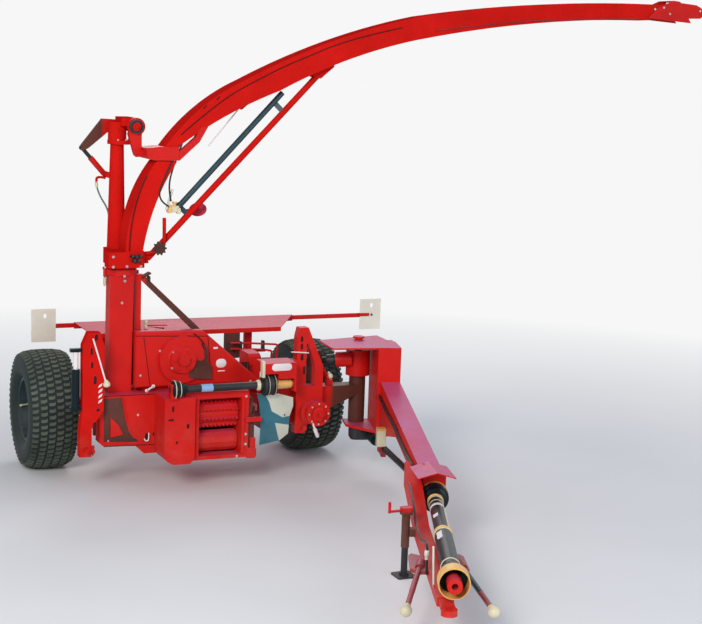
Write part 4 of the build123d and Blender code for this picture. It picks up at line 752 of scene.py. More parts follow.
# %% One block of the tread
def lug(centre, across, depth, lean, half_step):
    """One S-shaped block, set on the crown above the axle."""
    alone()
    bpy.ops.mesh.primitive_cube_add(size=1)
    rubber = bpy.context.object
    rubber.scale = (LUG_WIDE, LUG_LONG, LUG_H + LUG_ROOT)
    bpy.ops.object.transform_apply(location=False, rotation=False, scale=True)
    bpy.ops.object.mode_set(mode="EDIT")
    for cut in (-0.009, 0.009):
        bpy.ops.mesh.select_all(action="SELECT")
        bpy.ops.mesh.bisect(plane_co=(cut, 0, 0), plane_no=(1, 0, 0))
    bpy.ops.object.mode_set(mode="OBJECT")
    for side in (-1, 1):
        for corner in rubber.data.vertices:
            corner.select = side * corner.co.x > 0.005
        bpy.ops.object.mode_set(mode="EDIT")
        bpy.ops.transform.translate(value=(0, 0.0085 * side, 0))
        bpy.ops.object.mode_set(mode="OBJECT")
    for corner in rubber.data.vertices:
        corner.select = corner.co.z > 0
    bpy.ops.object.mode_set(mode="EDIT")
    bpy.ops.transform.resize(value=(0.90, 0.84, 1))
    bpy.ops.object.mode_set(mode="OBJECT")
    behind = Matrix.Rotation(math.pi / LUG_STEPS * half_step, 4, "X")
    height = TYRE_R - depth - LUG_H / 2 - LUG_SINK
    crown = Matrix.Translation(centre) @ behind @ Matrix.Translation((across, 0, height))
    rubber.matrix_world = crown @ Matrix.Rotation(math.radians(lean), 4, "Y")
    bpy.ops.object.transform_apply(location=True, rotation=True, scale=True)
    return rubber


# %% Both tyres
for name, centre in (("tyre_right", AXLE), ("tyre_left", AXLE + Vector((2 * TRACK, 0, 0)))):
    row_of_lugs = joined([lug(centre, *row, i % 2) for i, row in enumerate(LUG_ROWS)])
    tread = set_round(row_of_lugs, LUG_STEPS, centre, (1, 0, 0))
    tread.data.materials.append(FINISH["tread_rubber"])
    rubber_body = carcass(centre)
    rubber_body.data.materials.append(FINISH["tyre_rubber"])
    joined([rubber_body, tread])
    finished(name + "_dressed", "tyre_rubber", name.replace("tyre", "wheel"), name, angle=40)

# %% [markdown]
# ## Hubs
# Five nuts hold each wheel, a pressed cap keeps dirt out of the hub, and a valve sticks out of the
# rim. The nuts are copies of one, and cap and valve are turned parts, as they are in life.

# %% Wheel nuts, hub caps and valves
AXLE_Z, HUB_FACE, DISC_FACE, NUT_CIRCLE = 435, 74, 34, 112      # faces: outward from the wheel's middle
VALVE_OUT, VALVE_BACK, VALVE_DROP = 90, 196, 10
for hand, side in ((-1, "right"), (1, "left")):
    wheel_x, body, outward = hand * TRACK * 1000, "wheel_" + side, Vector((hand, 0, 0))
    bolts("wheel_nuts_" + side, body, 13,
          circle_of((wheel_x + hand * DISC_FACE, 0, AXLE_Z), NUT_CIRCLE, 5, 18, "YZ"), outward)
    turned_part(((-3, 44), (6, 44), (10, 38), (12, 36), (14, 20), (20, 12)),
                at(wheel_x + hand * HUB_FACE, 0, AXLE_Z), outward)
    finished("hub_cap_" + side, "cast_dark", body)
    turned_part(((-60, 7), (30, 6), (30, 9), (46, 9), (50, 6)),
                at(wheel_x + hand * VALVE_OUT, VALVE_BACK, AXLE_Z - VALVE_DROP), Vector((hand, -0.5, 0)), 12)
    finished("valve_" + side, "cream_plastic", body)

# %% [markdown]
# ## Seams and bolts of the casings
# Pressed casings meet at dark seams and carry a few bolts. The seams could be cut into the sheets,
# but a cut is as narrow as a coat of paint, so thin dark strips are laid on where two panels meet.

# %% Seams and bolts of the casings
GUARD_Y, CASE_Y, COVER_Y, INTAKE_Y = -750, -800, -1050, -1000       # front faces of the sheets
SEAMS = (
    # start, end, sheet
    ((-499, 1072), (-444, 690), GUARD_Y), ((-560, 1082), (-30, 1062), GUARD_Y),
    ((-30, 1062), (-20, 975), GUARD_Y), ((-20, 975), (2, 745), GUARD_Y), ((-796, 677), (-306, 674), CASE_Y),
    ((-306, 674), (-266, 668), CASE_Y), ((-790, 320), (-349, 311), CASE_Y))


def seam(start, end, y):
    """A dark strip on a forward face between two points (x, z)."""
    (x0, z0), (x1, z1) = start, end
    lean, long = math.degrees(math.atan2(z1 - z0, x1 - x0)), math.hypot(x1 - x0, z1 - z0)
    return block(((x0 + x1) / 2, y - 0.5, (z0 + z1) / 2), (long, 3.0, 5.0), 0.8, (0, -lean, 0))


joined([seam(*row) for row in SEAMS])
finished("casing_seams", "seam_dark", "chassis")
bolts("case_bolts", "chassis", 6.5,
      flat(CASE_Y, ((-548, 531), (-383, 614), (-338, 583), (-760, 360), (-300, 300))))
bolts("guard_bolts", "chassis", 7, flat(GUARD_Y, ((-380, 969), (-520, 800), (-60, 800), (300, 720))))

# %% [markdown]
# ## Pocket, latch and holes
# The blower casing has a shallow pocket with a rolled lip, a hook to lift it by, and lipped
# holes where rods pass. The pocket's shade is painted: it is a thin brown plate, because it is hardly
# deeper than its lip. A hole is a plate too, whose middle is pressed in again and dark, a painted shade.

# %% Pocket in the blower casing, with its curved lip and small bracket
# Painted shade: a thin brown plate for the pocket's shaded hollow.
plate(((-792, 354), (-545, 340), (-560, 372), (-592, 400), (-618, 450), (-634, 520), (-646, 590), (-668, 660),
       (-792, 660)), 2.0, (0, CASE_Y + 1, 0))
finished("case_pocket_shade", "brown_primer_and_shade", "chassis")
tube(flat(CASE_Y - 3, ((-665, 662), (-648, 600), (-632, 500), (-604, 410), (-560, 358), (-470, 336))), 7,
     "pocket_lip", "red_enamel", "chassis")
plate(((-745, 385), (-655, 400), (-690, 470), (-745, 525)), 10, (0, CASE_Y - 1, 0))
finished("pocket_bracket", "red_enamel", "chassis")

# %% Hook, latch and holes
holes("casing_holes", (
    ((-478, CASE_Y, 372), 36, 60), ((-428, CASE_Y, 390), 24, 34), ((-373, COVER_Y, 618), 14, 42),
    ((-263, COVER_Y, 491), 20, 34), ((-386, COVER_Y, 541), 40, 14), ((-342, COVER_Y, 380), 14, 22)))
tube(((-470, -806, 400), (-470, -812, 370), (-474, -814, 348), (-490, -814, 344), (-500, -812, 352),
      (-502, -810, 362)), 4.5, "lift_hook", "label_white", "chassis")
knob = turned_part(((-3, 6), (0, 12), (7, 12), (9, 8)), at(-474, GUARD_Y - 1, 692), FORWARD, 14)
knobs = copied(knob, [(48, 0, 29)])
joined([knobs, block((-450, GUARD_Y - 6, 706.5), (56, 8, 12), 1.5, (0, -31, 0))])
finished("cover_latch", "label_white", "chassis")

# %% [markdown]
# ## Right header post
# The post lifts the header on its right. It has four slanted stripes, slots for the header's hooks,
# a rod that ends in a knob, a pointed pin and the bright rod of a ram. The stripes are copies of
# one plate; they could be painted on, but paint on this machine is thick enough to show an edge.

# %% Stripes, slots, rod with its knob, pin and ram rod
POST_Y = -870
copied(plate(((-15, -17), (9, -3), (15, 17), (-9, 3)), 1.2, (-836, POST_Y, 770), 0.3),
       [(0, 0, -37), (0, 0, -73), (0, 0, -109)])
finished("post_stripes", "label_white", "chassis")
holes("post_slots", (
    ((-868, POST_Y, 1106), 22, 44), ((-900, POST_Y, 1010), 16, 50), ((-896, POST_Y, 915), 18, 46),
    ((-874, POST_Y, 470), 26, 96), ((-874, POST_Y, 810), 22, 60), ((-852, POST_Y, 600), 26, 22)))
tube(flat(POST_Y - 12, ((-893, 1100), (-862, 1000), (-830, 890), (-802, 795))), 6, "post_rod", "label_white",
     "chassis")
turned_part(((-30, 8), (-22, 14), (-14, 15), (-10, 21), (0, 25), (12, 24), (20, 17), (24, 6)),
            at(-797, -886, 782), Vector((0.2, 0, -1)))
finished("post_rod_knob", "cream_plastic", "chassis")
turned_part(((0, 12), (30, 12), (34, 17), (44, 17), (70, 3)), at(-880, -850, 345), DOWNWARD, 14)
finished("post_pin", "red_enamel", "chassis")
turned_part(((0, 17), (108, 17), (108, 21), (118, 21)), at(-1000, -835, 886), UPWARD)
finished("header_ram_rod", "label_white", "chassis")

# %% [markdown]
# ## Drum bearing, louvre and plates on the guard
# The guard over the drive bulges round the drum's bearing. A flange, a hub and four bolts show in
# it, and below it a raised brown wedge, a painted shadow of the bearing. The plates beside it are blank,
# the louvre's slats are copies of one, and a dark block behind them is painted shade in the openings.

# %% Drum bearing
DRUM_X, DRUM_Z, BULGE_Y = -241, 900, -776
turned_part(((-4, 96), (5, 96), (8, 91), (8, 66), (14, 60), (14, 44), (20, 40), (20, 18), (30, 16), (32, 10)),
            at(DRUM_X, BULGE_Y, DRUM_Z), FORWARD, 40)
finished("drum_flange", "red_enamel", "chassis")
bolts("drum_bolts", "chassis", 7, circle_of((DRUM_X, BULGE_Y - 8, DRUM_Z), 78, 4, 40))
# Painted shadow: a raised brown wedge where the bearing's shadow falls on the guard.
plate(((-166, 900), (-142, 906), (-79, 890), (-61, 908), (-62, 974), (-75, 1010), (-54, 1000), (-37, 950),
       (-32, 866), (-8, 854), (-4, 757), (-171, 766), (-175, 796), (-153, 830)), 28, (0, GUARD_Y, 0))
finished("drum_wedge_shadow", "brown_primer_and_shade", "chassis")
right_of_drum = circle_of((DRUM_X, GUARD_Y - 2, DRUM_Z), 212, 30, 60)       # every 12 degrees
tube([right_of_drum[-i] for i in range(7)], 5, "drum_arc", "seam_dark", "chassis")

# %% Blank plates, louvre and the brown box behind it
plate(oval(78, 64), 1.5, (73, GUARD_Y, 862))
finished("sign_plate", "label_white", "chassis")
joined([plate(oval(34, 14), 1.4, (30, GUARD_Y, 974)), plate(oval(54, 8), 1.4, (76, GUARD_Y, 806))])
finished("small_plates", "label_white", "chassis")
LOUVRE_X, LOUVRE_Z = 270, 784
copied(block((LOUVRE_X - 24, -692, LOUVRE_Z), (12, 10, 118)), [(24, 0, 0), (48, 0, 0)])
finished("louvre_slats", "brown_primer_and_shade", "chassis")
# A dark block behind the slats: painted shade in the louvre's openings.
block((LOUVRE_X, -688, LOUVRE_Z), (78, 6, 132))
finished("louvre_backing_shade", "seam_dark", "chassis")
block((375, -120, 872), (112, 60, 200), 5)
finished("deck_prop", "brown_primer_and_shade", "chassis")

# %% Drum hood: slots and knob
HOOD_LEAN = (0, 0, -30)
# Dark blocks for the slots: painted shade in their openings.
joined([block((-335, -640, 1092), (110, 26, 10), 2, HOOD_LEAN),
        block((-345, -560, 1098), (100, 14, 14), 2, HOOD_LEAN)])
finished("hood_slots", "seam_dark", "chassis")
turned_part(((-45, 12), (0, 14), (8, 14), (12, 9), (26, 9), (30, 16), (44, 16), (50, 9)),
            at(-430, -563, 1108), UPWARD, 18)
finished("hood_knob", "cream_plastic", "chassis")

# %% [markdown]
# ## Cross drive
# A guarded shaft brings power across the front to the intake. Its black tube ends in a bell on the
# right and in a friction clutch on the left, whose plates and linings show as rings. All of them
# are turned about one line, so a small helper knows that line and asks only for the profile.

# %% Bell, collar, clutch rings and sticker on the cross shaft
CROSS_Y, CROSS_Z = -1042, 752


def on_cross(name, look, rows):
    """A turned part on the cross shaft: rows of X and radius."""
    turned_part(rows, at(0, CROSS_Y, CROSS_Z), LEFTWARD, 32)
    return finished(name, look, "cross_drive", angle=28)


on_cross("cross_bell", "black_plastic", (
    (-388, 34), (-384, 46), (-374, 60), (-366, 63), (-352, 63), (-340, 58), (-318, 52), (-300, 40),
    (-284, 34), (-276, 32)))
on_cross("bell_ring_outer", "cream_plastic", ((-368, 62), (-368, 65.5), (-362, 65.5), (-362, 62)))
on_cross("bell_ring_inner", "cream_plastic", ((-330, 50), (-330, 57), (-325, 57), (-325, 50)))
on_cross("bell_yoke", "yellow_plastic", ((-394, 20), (-394, 33), (-389, 36), (-388, 20)))
on_cross("clutch_collar", "cream_plastic", (
    (236, 27), (238, 33), (246, 38), (284, 40), (290, 44), (294, 44), (294, 27)))
for i, x in enumerate((300, 350)):
    on_cross(f"clutch_plate_{i}", "black_plastic",
             ((x, 60), (x, 75), (x + 2, 77), (x + 7, 77), (x + 9, 75), (x + 9, 60)))
    on_cross(f"clutch_lining_{i}", "cream_plastic",
             ((x + 11, 60), (x + 11, 75.5), (x + 14, 75.5), (x + 14, 60)))

# %% Blue sticker: a thin ring cut away where it doesn't face up and forward
turned_part(((-172, 27.2), (-172, 27.6), (-88, 27.6), (-88, 27.2)), at(0, CROSS_Y, CROSS_Z), LEFTWARD)
all_in_edit_mode()
bpy.ops.mesh.bisect(plane_co=at(0, CROSS_Y + 4, CROSS_Z - 4), plane_no=(0, 1, -1), clear_outer=True,
                    use_fill=True)
bpy.ops.object.mode_set(mode="OBJECT")
finished("shaft_sticker", "label_blue", "cross_drive")

# %% Clutch guard: edge strip and blank plate
block((275, -1064, 868), (22, 46, 116), 3)
finished("guard_edge", "cream_plastic", "chassis")
plate(oval(150, 52, 20), 1.6, (408, -1088, 882))
finished("guard_plate", "label_white", "chassis")

# %% [markdown]
# ## Intake
# The throat is a deep frame with rounded shoulders. Bolts hold its wear strips, a lever on the left
# lifts the roll, and a foot below carries the roll's arm. The rolls themselves come from the CAD
# model; a dark sheet behind them stands for the unlit inside.

# %% Intake trims
block((-10, -699, 458), (318, 6, 412))
finished("throat_back", "shadow_black", "chassis")
bolts("intake_bolts", "chassis", 7.5,
      flat(INTAKE_Y, ((180, 668), (118, 238), (180, 322), (180, 394), (-240, 660), (-240, 470))))
for name, x, wide in (("intake_strip_left", 158, 22), ("intake_strip_right", -182, 26)):
    block((x, INTAKE_Y - 4, 456), (wide, 12, 400), 3)
    finished(name, "red_enamel", "chassis")
tube(flat(INTAKE_Y - 2, ((-226, 640), (-226, 690), (-215, 702), (-190, 704), (0, 704), (160, 704), (184, 702),
                         (193, 690), (193, 640))), 9, "intake_rim", "red_enamel", "chassis")
block((232, INTAKE_Y - 10, 500), (120, 22, 34), 4)
finished("roll_lever", "red_enamel", "chassis")
joined([block((226, -984, 255), (72, 52, 76), 8), block((236, -984, 325), (40, 44, 80), 6)])
finished("roll_arm_foot", "red_enamel", "chassis")
block((240, -983, 560), (12, 12, 60), 3, (0, 14, 0))
finished("roll_arm_spring", "seam_dark", "chassis")
for name, x in (("skid_right", -245), ("skid_left", -330)):
    turned_part(((-26, 20), (-20, 24), (20, 24), (26, 20)), at(x, -1018, 246), LEFTWARD, 20)
    finished(name, "red_enamel", "chassis")

# %% [markdown]
# ## Galvanised shield
# The shield beside the intake is one zinc-coated sheet, creased so that its upper right half faces
# forward while the rest falls away to the side. The forward facets wear a pale finish, a painted sun
# glare, and the rest a blue-grey one, a painted sky reflection. Its creases follow no plain
# curve, so it is a small grid whose corners are moved to their places, and a thin wall is given to it.

# %% Shield
SHIELD = (                  # x, y, z of its corners, row by row from the top
    ((275, -955, 672), (320, -1004, 672), (416, -1008, 676), (533, -1000, 640)),
    ((294, -952, 603), (351, -1006, 616), (439, -1010, 598), (535, -1000, 578)),
    ((306, -950, 513), (370, -1008, 551), (454, -1004, 501), (511, -998, 506)),
    ((310, -948, 447), (403, -992, 461), (449, -994, 452), (509, -992, 440)),
    ((307, -940, 291), (441, -984, 327), (474, -986, 351), (507, -986, 376)))
CREASE_ROW = 2
alone()
bpy.ops.mesh.primitive_grid_add(x_subdivisions=3, y_subdivisions=4, size=1)
shield = bpy.context.object
order = sorted(shield.data.vertices, key=lambda v: (-round(v.co.y, 3), v.co.x))
place_in_row = {corner.index: divmod(i, 4) for i, corner in enumerate(order)}
for corner, place in zip(order, [p for row in SHIELD for p in row]):
    corner.co = at(*place)
bpy.ops.object.mode_set(mode="EDIT")
closed_outward()
for face in shield.data.polygons:
    row, column = min(place_in_row[i] for i in face.vertices)
    # The facets that look forward take the pale finish as a painted sun glare, the others the blue-grey one
    # as a painted sky reflection.
    face.material_index = int(column > 0 and row != CREASE_ROW)     # the facets that look forward
wall = shield.modifiers.new("wall", "SOLIDIFY")
wall.thickness, wall.offset = 0.003, 0
bpy.ops.object.modifier_apply(modifier="wall")
shield.select_set(True)
finished("shield_sheet", "zinc_sheet zinc_bright", "chassis", "folded_shield", angle=12)
block((500, -930, 600), (60, 140, 6), 1)
finished("shield_tab", "zinc_sheet", "chassis")
bolts("shield_bolts", "chassis", 5, ((470, -1006, 517),), look="cast_dark")

# %% [markdown]
# ## Left header post and its gearbox
# The left post carries the header's other hook and the gearbox that drives it. Slots, a thin release
# rod and a white pin sit on the post; the stay behind it ends in a knob. All are turned parts and
# bent rods, placed on the post's front face.

# %% Left post
LEFT_Y, GEAR_X, GEAR_Y, GEAR_Z = -930, 736, -1004, 506
holes("left_post_slots", (
    ((617, LEFT_Y, 1047), 18, 40), ((617, LEFT_Y, 992), 18, 44), ((621, LEFT_Y, 915), 20, 50),
    ((640, LEFT_Y, 820), 16, 60)))
tube(flat(LEFT_Y - 3, ((536, 956), (600, 952), (672, 944))), 4, "release_rod", "label_white", "chassis")
turned_part(((-34, 9), (-20, 12), (-12, 16), (0, 21), (12, 18), (20, 8)), at(897, -811, 741),
            Vector((0.5, 0, -1)), 20)
finished("stay_knob", "cream_plastic", "chassis")
turned_part(((-46, 8), (0, 8), (2, 14), (62, 14), (70, 9)), at(712, -990, 398), Vector((0.42, 0, -1)), 18)
finished("white_pin", "label_white", "chassis")
bolts("gearbox_bolts", "chassis", 6, circle_of((GEAR_X, GEAR_Y, GEAR_Z), 74, 8))
turned_part(((0, 52), (6, 52), (8, 46), (8, 30)), at(GEAR_X, GEAR_Y - 6, GEAR_Z), FORWARD, 30)
finished("gearbox_cover", "red_enamel", "chassis")

# %% [markdown]
# ## Pipes and fixings behind the post
# Two steel pipes leave the housing and bend down in front of the deck, held by two clamps. The post
# has a brown backing, and the left marker board a clip and a bolt.

# %% Hydraulic pipes beside the housing
for i, (z, shift) in enumerate(((896, 0), (850, 46))):
    tube(((338, -200, z + 4), (500, -200, z - 4), (640, -200, z - 16), (684 - shift, -200, z - 20),
          (712 - shift, -198, z - 22), (720 - shift, -190, z - 40), (722 - shift, -170, 760),
          (722 - shift, -150, 690)), 8, f"pipe_{i}", "red_enamel", "chassis")
copied(block((420, -190, 870), (22, 34, 74), 4), [(180, 0, 0)])
finished("pipe_clamps", "cast_dark", "chassis")
block((510, -160, 828), (240, 34, 20))
finished("pipe_rail", "brown_primer_and_shade", "chassis")

# %% Brown backing behind the post, clip and bolt of the left marker board
block((764, -820, 828), (86, 84, 226), 3)
finished("post_backing", "brown_primer_and_shade", "chassis")
block((1686, 358, 982), (90, 6, 26))
finished("board_clip", "red_enamel", "chassis")
bolts("board_bolt", "chassis", 8, ((1752, 360, 979),), look="blue_black_tube")

# %% [markdown]
# ## Tower and turning base
# The tower carries the turning base. Clips, bolts and a cluster of black hose couplings sit round
# it, and a toothed wheel turns the spout. The couplings are copies of one, and the wheel's teeth
# are one block that is spun round its hub.

# %% Tower clips, bolts, bracket and back
joined([block((-743, -602, 1510), (12, 46, 62), 4), block((-745, -580, 1540), (12, 20, 20), 3)])
finished("tower_clip", "red_enamel", "chassis")
joined([block((-743, -602, 1452), (12, 40, 50), 4), block((-744, -602, 1424), (10, 22, 16), 3)])
finished("tower_clip_low", "cream_plastic", "chassis")
bolts("tower_bolts", "chassis", 8, ((-632, -714, 1498), (-625, -700, 1463), (-644, -700, 1310)))
joined([block((-455, -620, 1490), (74, 60, 14), 3, (0, -28, 0)), block((-432, -620, 1462), (12, 60, 46), 3)])
finished("tower_bracket", "brown_primer_and_shade", "chassis")
block((-515, -560, 1110), (56, 8, 820), 3)
finished("tower_back", "brown_primer_and_shade", "chassis")

# %% Hose couplings and bolts of the turning base
coupling = turned_part(((0, 11), (16, 11), (18, 14), (28, 14), (30, 9), (36, 9)), at(-600, -758, 1642),
                       Vector((0.15, -1, 0.1)), 12)
copied(coupling, [(28, 0, -2), (56, 0, 2), (14, 0, -30), (44, 0, -32)])
finished("base_couplings", "hose_rubber", "spout_base")
bolts("base_bolts", "spout_base", 8, flat(-760, ((-725, 1640), (-725, 1570), (-530, 1570), (-628, 1572))))

# %% Toothed wheel that turns the spout
WHEEL_X, WHEEL_Y, WHEEL_Z, WHEEL_TEETH = -385, -722, 1690, 10
hub = turned_part(((-8, 10), (-8, 40), (8, 40), (8, 10)), at(WHEEL_X, WHEEL_Y, WHEEL_Z), FORWARD, 20)
tooth = block((WHEEL_X + 42, WHEEL_Y, WHEEL_Z), (16, 14, 12))
joined([hub, set_round(tooth, WHEEL_TEETH, at(WHEEL_X, WHEEL_Y, WHEEL_Z), (0, 1, 0))])
finished("turning_wheel", "brown_primer_and_shade", "spout_base")

# %% [markdown]
# ## Lower spout and mast
# The lower spout is folded sheet with a seam near its front edge, beside it a pipe brings grease up
# to the turning ring. The mast ends in a bolted flange, and a green hose hangs from the ram's foot.
# Seam, pipe and hose are bent tubes, because a curve through a few places gives their sag.

# %% Seam of the lower spout and grease pipe
LOWER_FRONT, SEAM_IN = -755, 22
LOWER_EDGE = (
    (-632, 1676), (-630, 1760), (-621, 1850), (-606, 1940), (-583, 2030), (-552, 2120), (-516, 2200))
tube(flat(LOWER_FRONT, [(x + SEAM_IN, z) for x, z in LOWER_EDGE]), 3.5, "lower_spout_seam", "seam_dark",
     "spout_base")
tube(((-349, -700, 1900), (-347, -702, 1790), (-350, -704, 1700), (-385, -706, 1668), (-450, -700, 1656),
      (-530, -690, 1650)), 13, "grease_pipe", "red_spout", "spout_base")

# %% Mast: flange, ram foot and its hose
MAST_X, MAST_Y, FLANGE_Z = -614, -492, 2410
turned_part(((-14, 60), (-14, 88), (14, 88), (14, 60)), at(MAST_X, MAST_Y, FLANGE_Z), UPWARD, 36)
finished("mast_flange", "red_spout", "spout_base")
bolts("mast_bolts", "spout_base", 8, circle_of((MAST_X, MAST_Y, FLANGE_Z + 14), 74, 8, 20, "XY"), UPWARD)
tube(((-758, -400, 2140), (-756, -404, 2095), (-730, -420, 2020), (-700, -470, 1960), (-688, -500, 1900),
      (-688, -500, 1780), (-688, -505, 1690)), 6, "ram_hose", "hose_green", "spout_base")
tube(((-690, -400, 2152), (-730, -398, 2162), (-760, -400, 2150), (-752, -402, 2128)), 9, "ram_foot_lever",
     "red_spout", "spout_base")
turned_part(((0, 8), (0, 11), (26, 11), (28, 8), (44, 8)), at(-756, -404, 2122), Vector((0.1, 0, -1)), 14)
finished("ram_hose_fitting", "cream_plastic", "spout_base")

# %% [markdown]
# ## Upper spout
# The long spout turns with the base and lifts about a pin. Its side plates are folded, with a seam
# along the curve. A valve block, its handle and the hoses for the flap sit at its foot, and a thin
# rod runs along to the flaps at the mouth. Each piece lies on the spout's forward side, so most
# routes are given as pairs of X and Z in one upright plane.

# %% Seam, control rod and slots
UPPER_FRONT = -752
UPPER_EDGE = (
    (-255, 2478), (-124, 2591), (98, 2761), (316, 2878), (520, 2979), (692, 3049), (838, 3114),
    (1100, 3200), (1400, 3272))
tube(flat(UPPER_FRONT, UPPER_EDGE), 3.5, "upper_spout_seam", "seam_dark", "spout_arm")
tube(flat(UPPER_FRONT, ((1671, 3262), (2200, 3340), (2800, 3394), (3414, 3420))), 5, "flap_rod", "red_worn",
     "spout_arm")
# Dark blocks for the slots: painted shade in their openings.
copied(block((-85, UPPER_FRONT - 1, 2672), (34, 3, 7), 1, (0, -42, 0)), [(96, 0, 63)])
finished("spout_slots", "seam_dark", "spout_arm")

# %% Pivot ring and hub
PIVOT = at(-549, -652, 2526)
turned_part(((0, 47), (36, 47), (38, 45), (38, 37), (30, 36)), PIVOT, FORWARD, 36)
finished("pivot_ring", "cast_dark", "spout_arm")
turned_part(((30, 29), (38, 29), (40, 25), (40, 15), (52, 15), (54, 12)), PIVOT, FORWARD, 26)
finished("pivot_hub", "red_spout", "spout_arm")

# %% Valve block, handle and hoses
joined([block((-291, -706, 1962), (86, 40, 44), 4), block((-252, -712, 1950), (22, 48, 40), 3)])
finished("valve_block", "cream_plastic", "spout_arm")
joined([block((-318, -712, 1966), (24, 50, 60), 3),
        turned_part(((0, 12), (18, 12), (20, 16), (32, 16)), at(-280, -706, 1982), UPWARD, 14)])
finished("valve_ports", "yellow_plastic", "spout_arm")
tube(((-299, -722, 2101), (-322, -728, 2035), (-345, -730, 1960)), 9, "valve_handle", "zinc_bright",
     "spout_arm")
tube(flat(UPPER_FRONT, ((-262, 2410), (-300, 2330), (-336, 2250), (-372, 2170), (-400, 2098), (-402, 2050),
                        (-372, 2005), (-335, 1985))), 6, "valve_hose", "hose_rubber", "spout_arm")
tube(flat(UPPER_FRONT + 8, ((-240, 2426), (-276, 2330), (-306, 2250), (-330, 2160), (-330, 2080),
                            (-316, 2020))), 6, "valve_hose_inner", "hose_rubber", "spout_arm")

# %% Red disc on its bracket, thin stay and its lug
turned_part(((-5, 50), (-5, 60), (-2, 63), (2, 63), (5, 60), (5, 54)), at(-55, -545, 1942),
            Vector((-0.3, -0.62, 0.72)), 40)
finished("guide_disc", "red_full_sheen", "spout_arm")
block((-112, -602, 1948), (160, 34, 14), 3, (0, 0, 46))
finished("guide_bracket", "red_spout", "spout_arm")
tube(flat(-660, ((200, 2668), (90, 2535), (-24, 2399))), 5, "stay_rod", "label_white", "spout_arm")
block((222, -660, 2688), (60, 30, 40), 5, (0, -40, 0))
finished("stay_lug", "red_spout", "spout_arm")

# %% Bolts of the flaps at the mouth
bolts("flap_bolts", "mouth_flap", 7, flat(-762, ((3560, 3500), (3640, 3516), (3700, 3470))))
bolts("tip_bolts", "mouth_tip", 7, ((3990, -751, 3505),))

# %% [markdown]
# ## Drawbar
# The drawbar leaves the chassis slanted, then bends toward the tractor. Turning each small piece by
# hand would be slow, so two little frames of reference place things on it: one along the beam
# behind the bend, one along the front.

# %% Places along the two parts of the drawbar
BEAM_LEAN, FRONT_LEAN = 15.3, 20.571        # degrees from straight ahead
BEAM_ROOT, FRONT_ROOT = (1120, -800), (800, -2400)


def on_beam(u, v, z):
    """A place on the rear beam: u across, v along (forward is negative), z up; millimetres."""
    cosine, sine = math.cos(math.radians(BEAM_LEAN)), math.sin(math.radians(BEAM_LEAN))
    return (BEAM_ROOT[0] + u * cosine + v * sine, BEAM_ROOT[1] - u * sine + v * cosine, z)


def on_front(t, s, z):
    """A place on the front beam: t along, s to its left, z up; millimetres."""
    cosine, sine = math.cos(math.radians(FRONT_LEAN)), math.sin(math.radians(FRONT_LEAN))
    return (FRONT_ROOT[0] - t * sine + s * cosine, FRONT_ROOT[1] - t * cosine - s * sine, z)


print("knee of the drawbar at", [round(c) for c in on_front(0, 0, 0)], "mm")

# %% [markdown]
# ## Hoses on the drawbar
# Two hydraulic hoses run from the machine to the tractor, and a thin cream tube between them is a
# painted highlight on them. They are clipped to the beam, sag between the clips, and end in couplings. They
# are bent tubes through a few places on the beam's side; a simulated rope would sag more truly, but these are
# stiff and short between clips.

# %% Hoses clipped to the beam's side, with a painted highlight between them
BEAM_HOSE = (               # along the beam, height
    (-18, 595), (-69, 578), (-130, 596), (-200, 650), (-330, 652), (-455, 645), (-632, 613), (-922, 594),
    (-1170, 545), (-1474, 505), (-1700, 492))
CLIP_TURN = (0, 0, -BEAM_LEAN)
# The thin cream tube between the hoses is a painted highlight along their edges.
for name, drop, radius, look in (("beam_hose", 0, 7, "hose_rubber"), ("beam_hose_low", 17, 7, "hose_rubber"),
                                 ("beam_wire", 8, 3.5, "cream_plastic")):
    tube([on_beam(112, v, z - drop) for v, z in BEAM_HOSE], radius, name, look, "drawbar")
first, second = Vector(on_beam(113, -540, 620)), Vector(on_beam(113, -1060, 560))
copied(block(first, (14, 22, 42), 3, CLIP_TURN), [second - first])
finished("hose_clips", "cast_dark", "drawbar")

# %% Hose, coupling and catch rod on the front beam
FRONT_HOSE = (              # along the front beam, height
    (420, 470), (620, 452), (796, 416), (904, 358), (1060, 346), (1250, 362), (1430, 420), (1530, 430),
    (1550, 400))
CATCH_ROD = ((1719, 480), (1757, 391), (1797, 300), (1803, 284))
tube([on_front(t, -53, z) for t, z in FRONT_HOSE], 7, "front_hose", "hose_rubber", "drawbar")
turned_part(((0, 11), (6, 14), (30, 14), (34, 10), (52, 10)), at(*on_front(1550, -56, 404)), DOWNWARD, 16)
finished("hose_coupling", "zinc_bright", "drawbar")
tube([on_front(t, -54, z) for t, z in ((1550, 352), (1556, 310), (1570, 272))], 7, "front_hose_tail",
     "hose_rubber", "drawbar")
tube([on_front(t, -42, z) for t, z in CATCH_ROD], 5.5, "catch_rod", "zinc_bright", "drawbar")

# %% Pouch and catch below the beam's root
block(on_beam(89, -600, 405), (64, 70, 120), 5, CLIP_TURN)
finished("side_pouch", "cream_plastic", "drawbar")
block(on_beam(89, -602, 470), (66, 72, 14), 4, CLIP_TURN)
finished("side_pouch_lid", "yellow_plastic", "drawbar")
joined([block(on_beam(96, -590, 325), (50, 60, 50), 5, CLIP_TURN),
        block(on_beam(100, -640, 300), (36, 60, 36), 4, CLIP_TURN)])
finished("side_catch", "red_worn", "drawbar")

# %% [markdown]
# ## Guard of the power shaft
# The shaft between tractor and machine turns inside a plastic guard: a bell at the gearbox, tubes
# that slide in each other, and a wide yellow cone at the tractor's end. Every ring is turned about
# the shaft's line, so they come from one table of distances and radii.

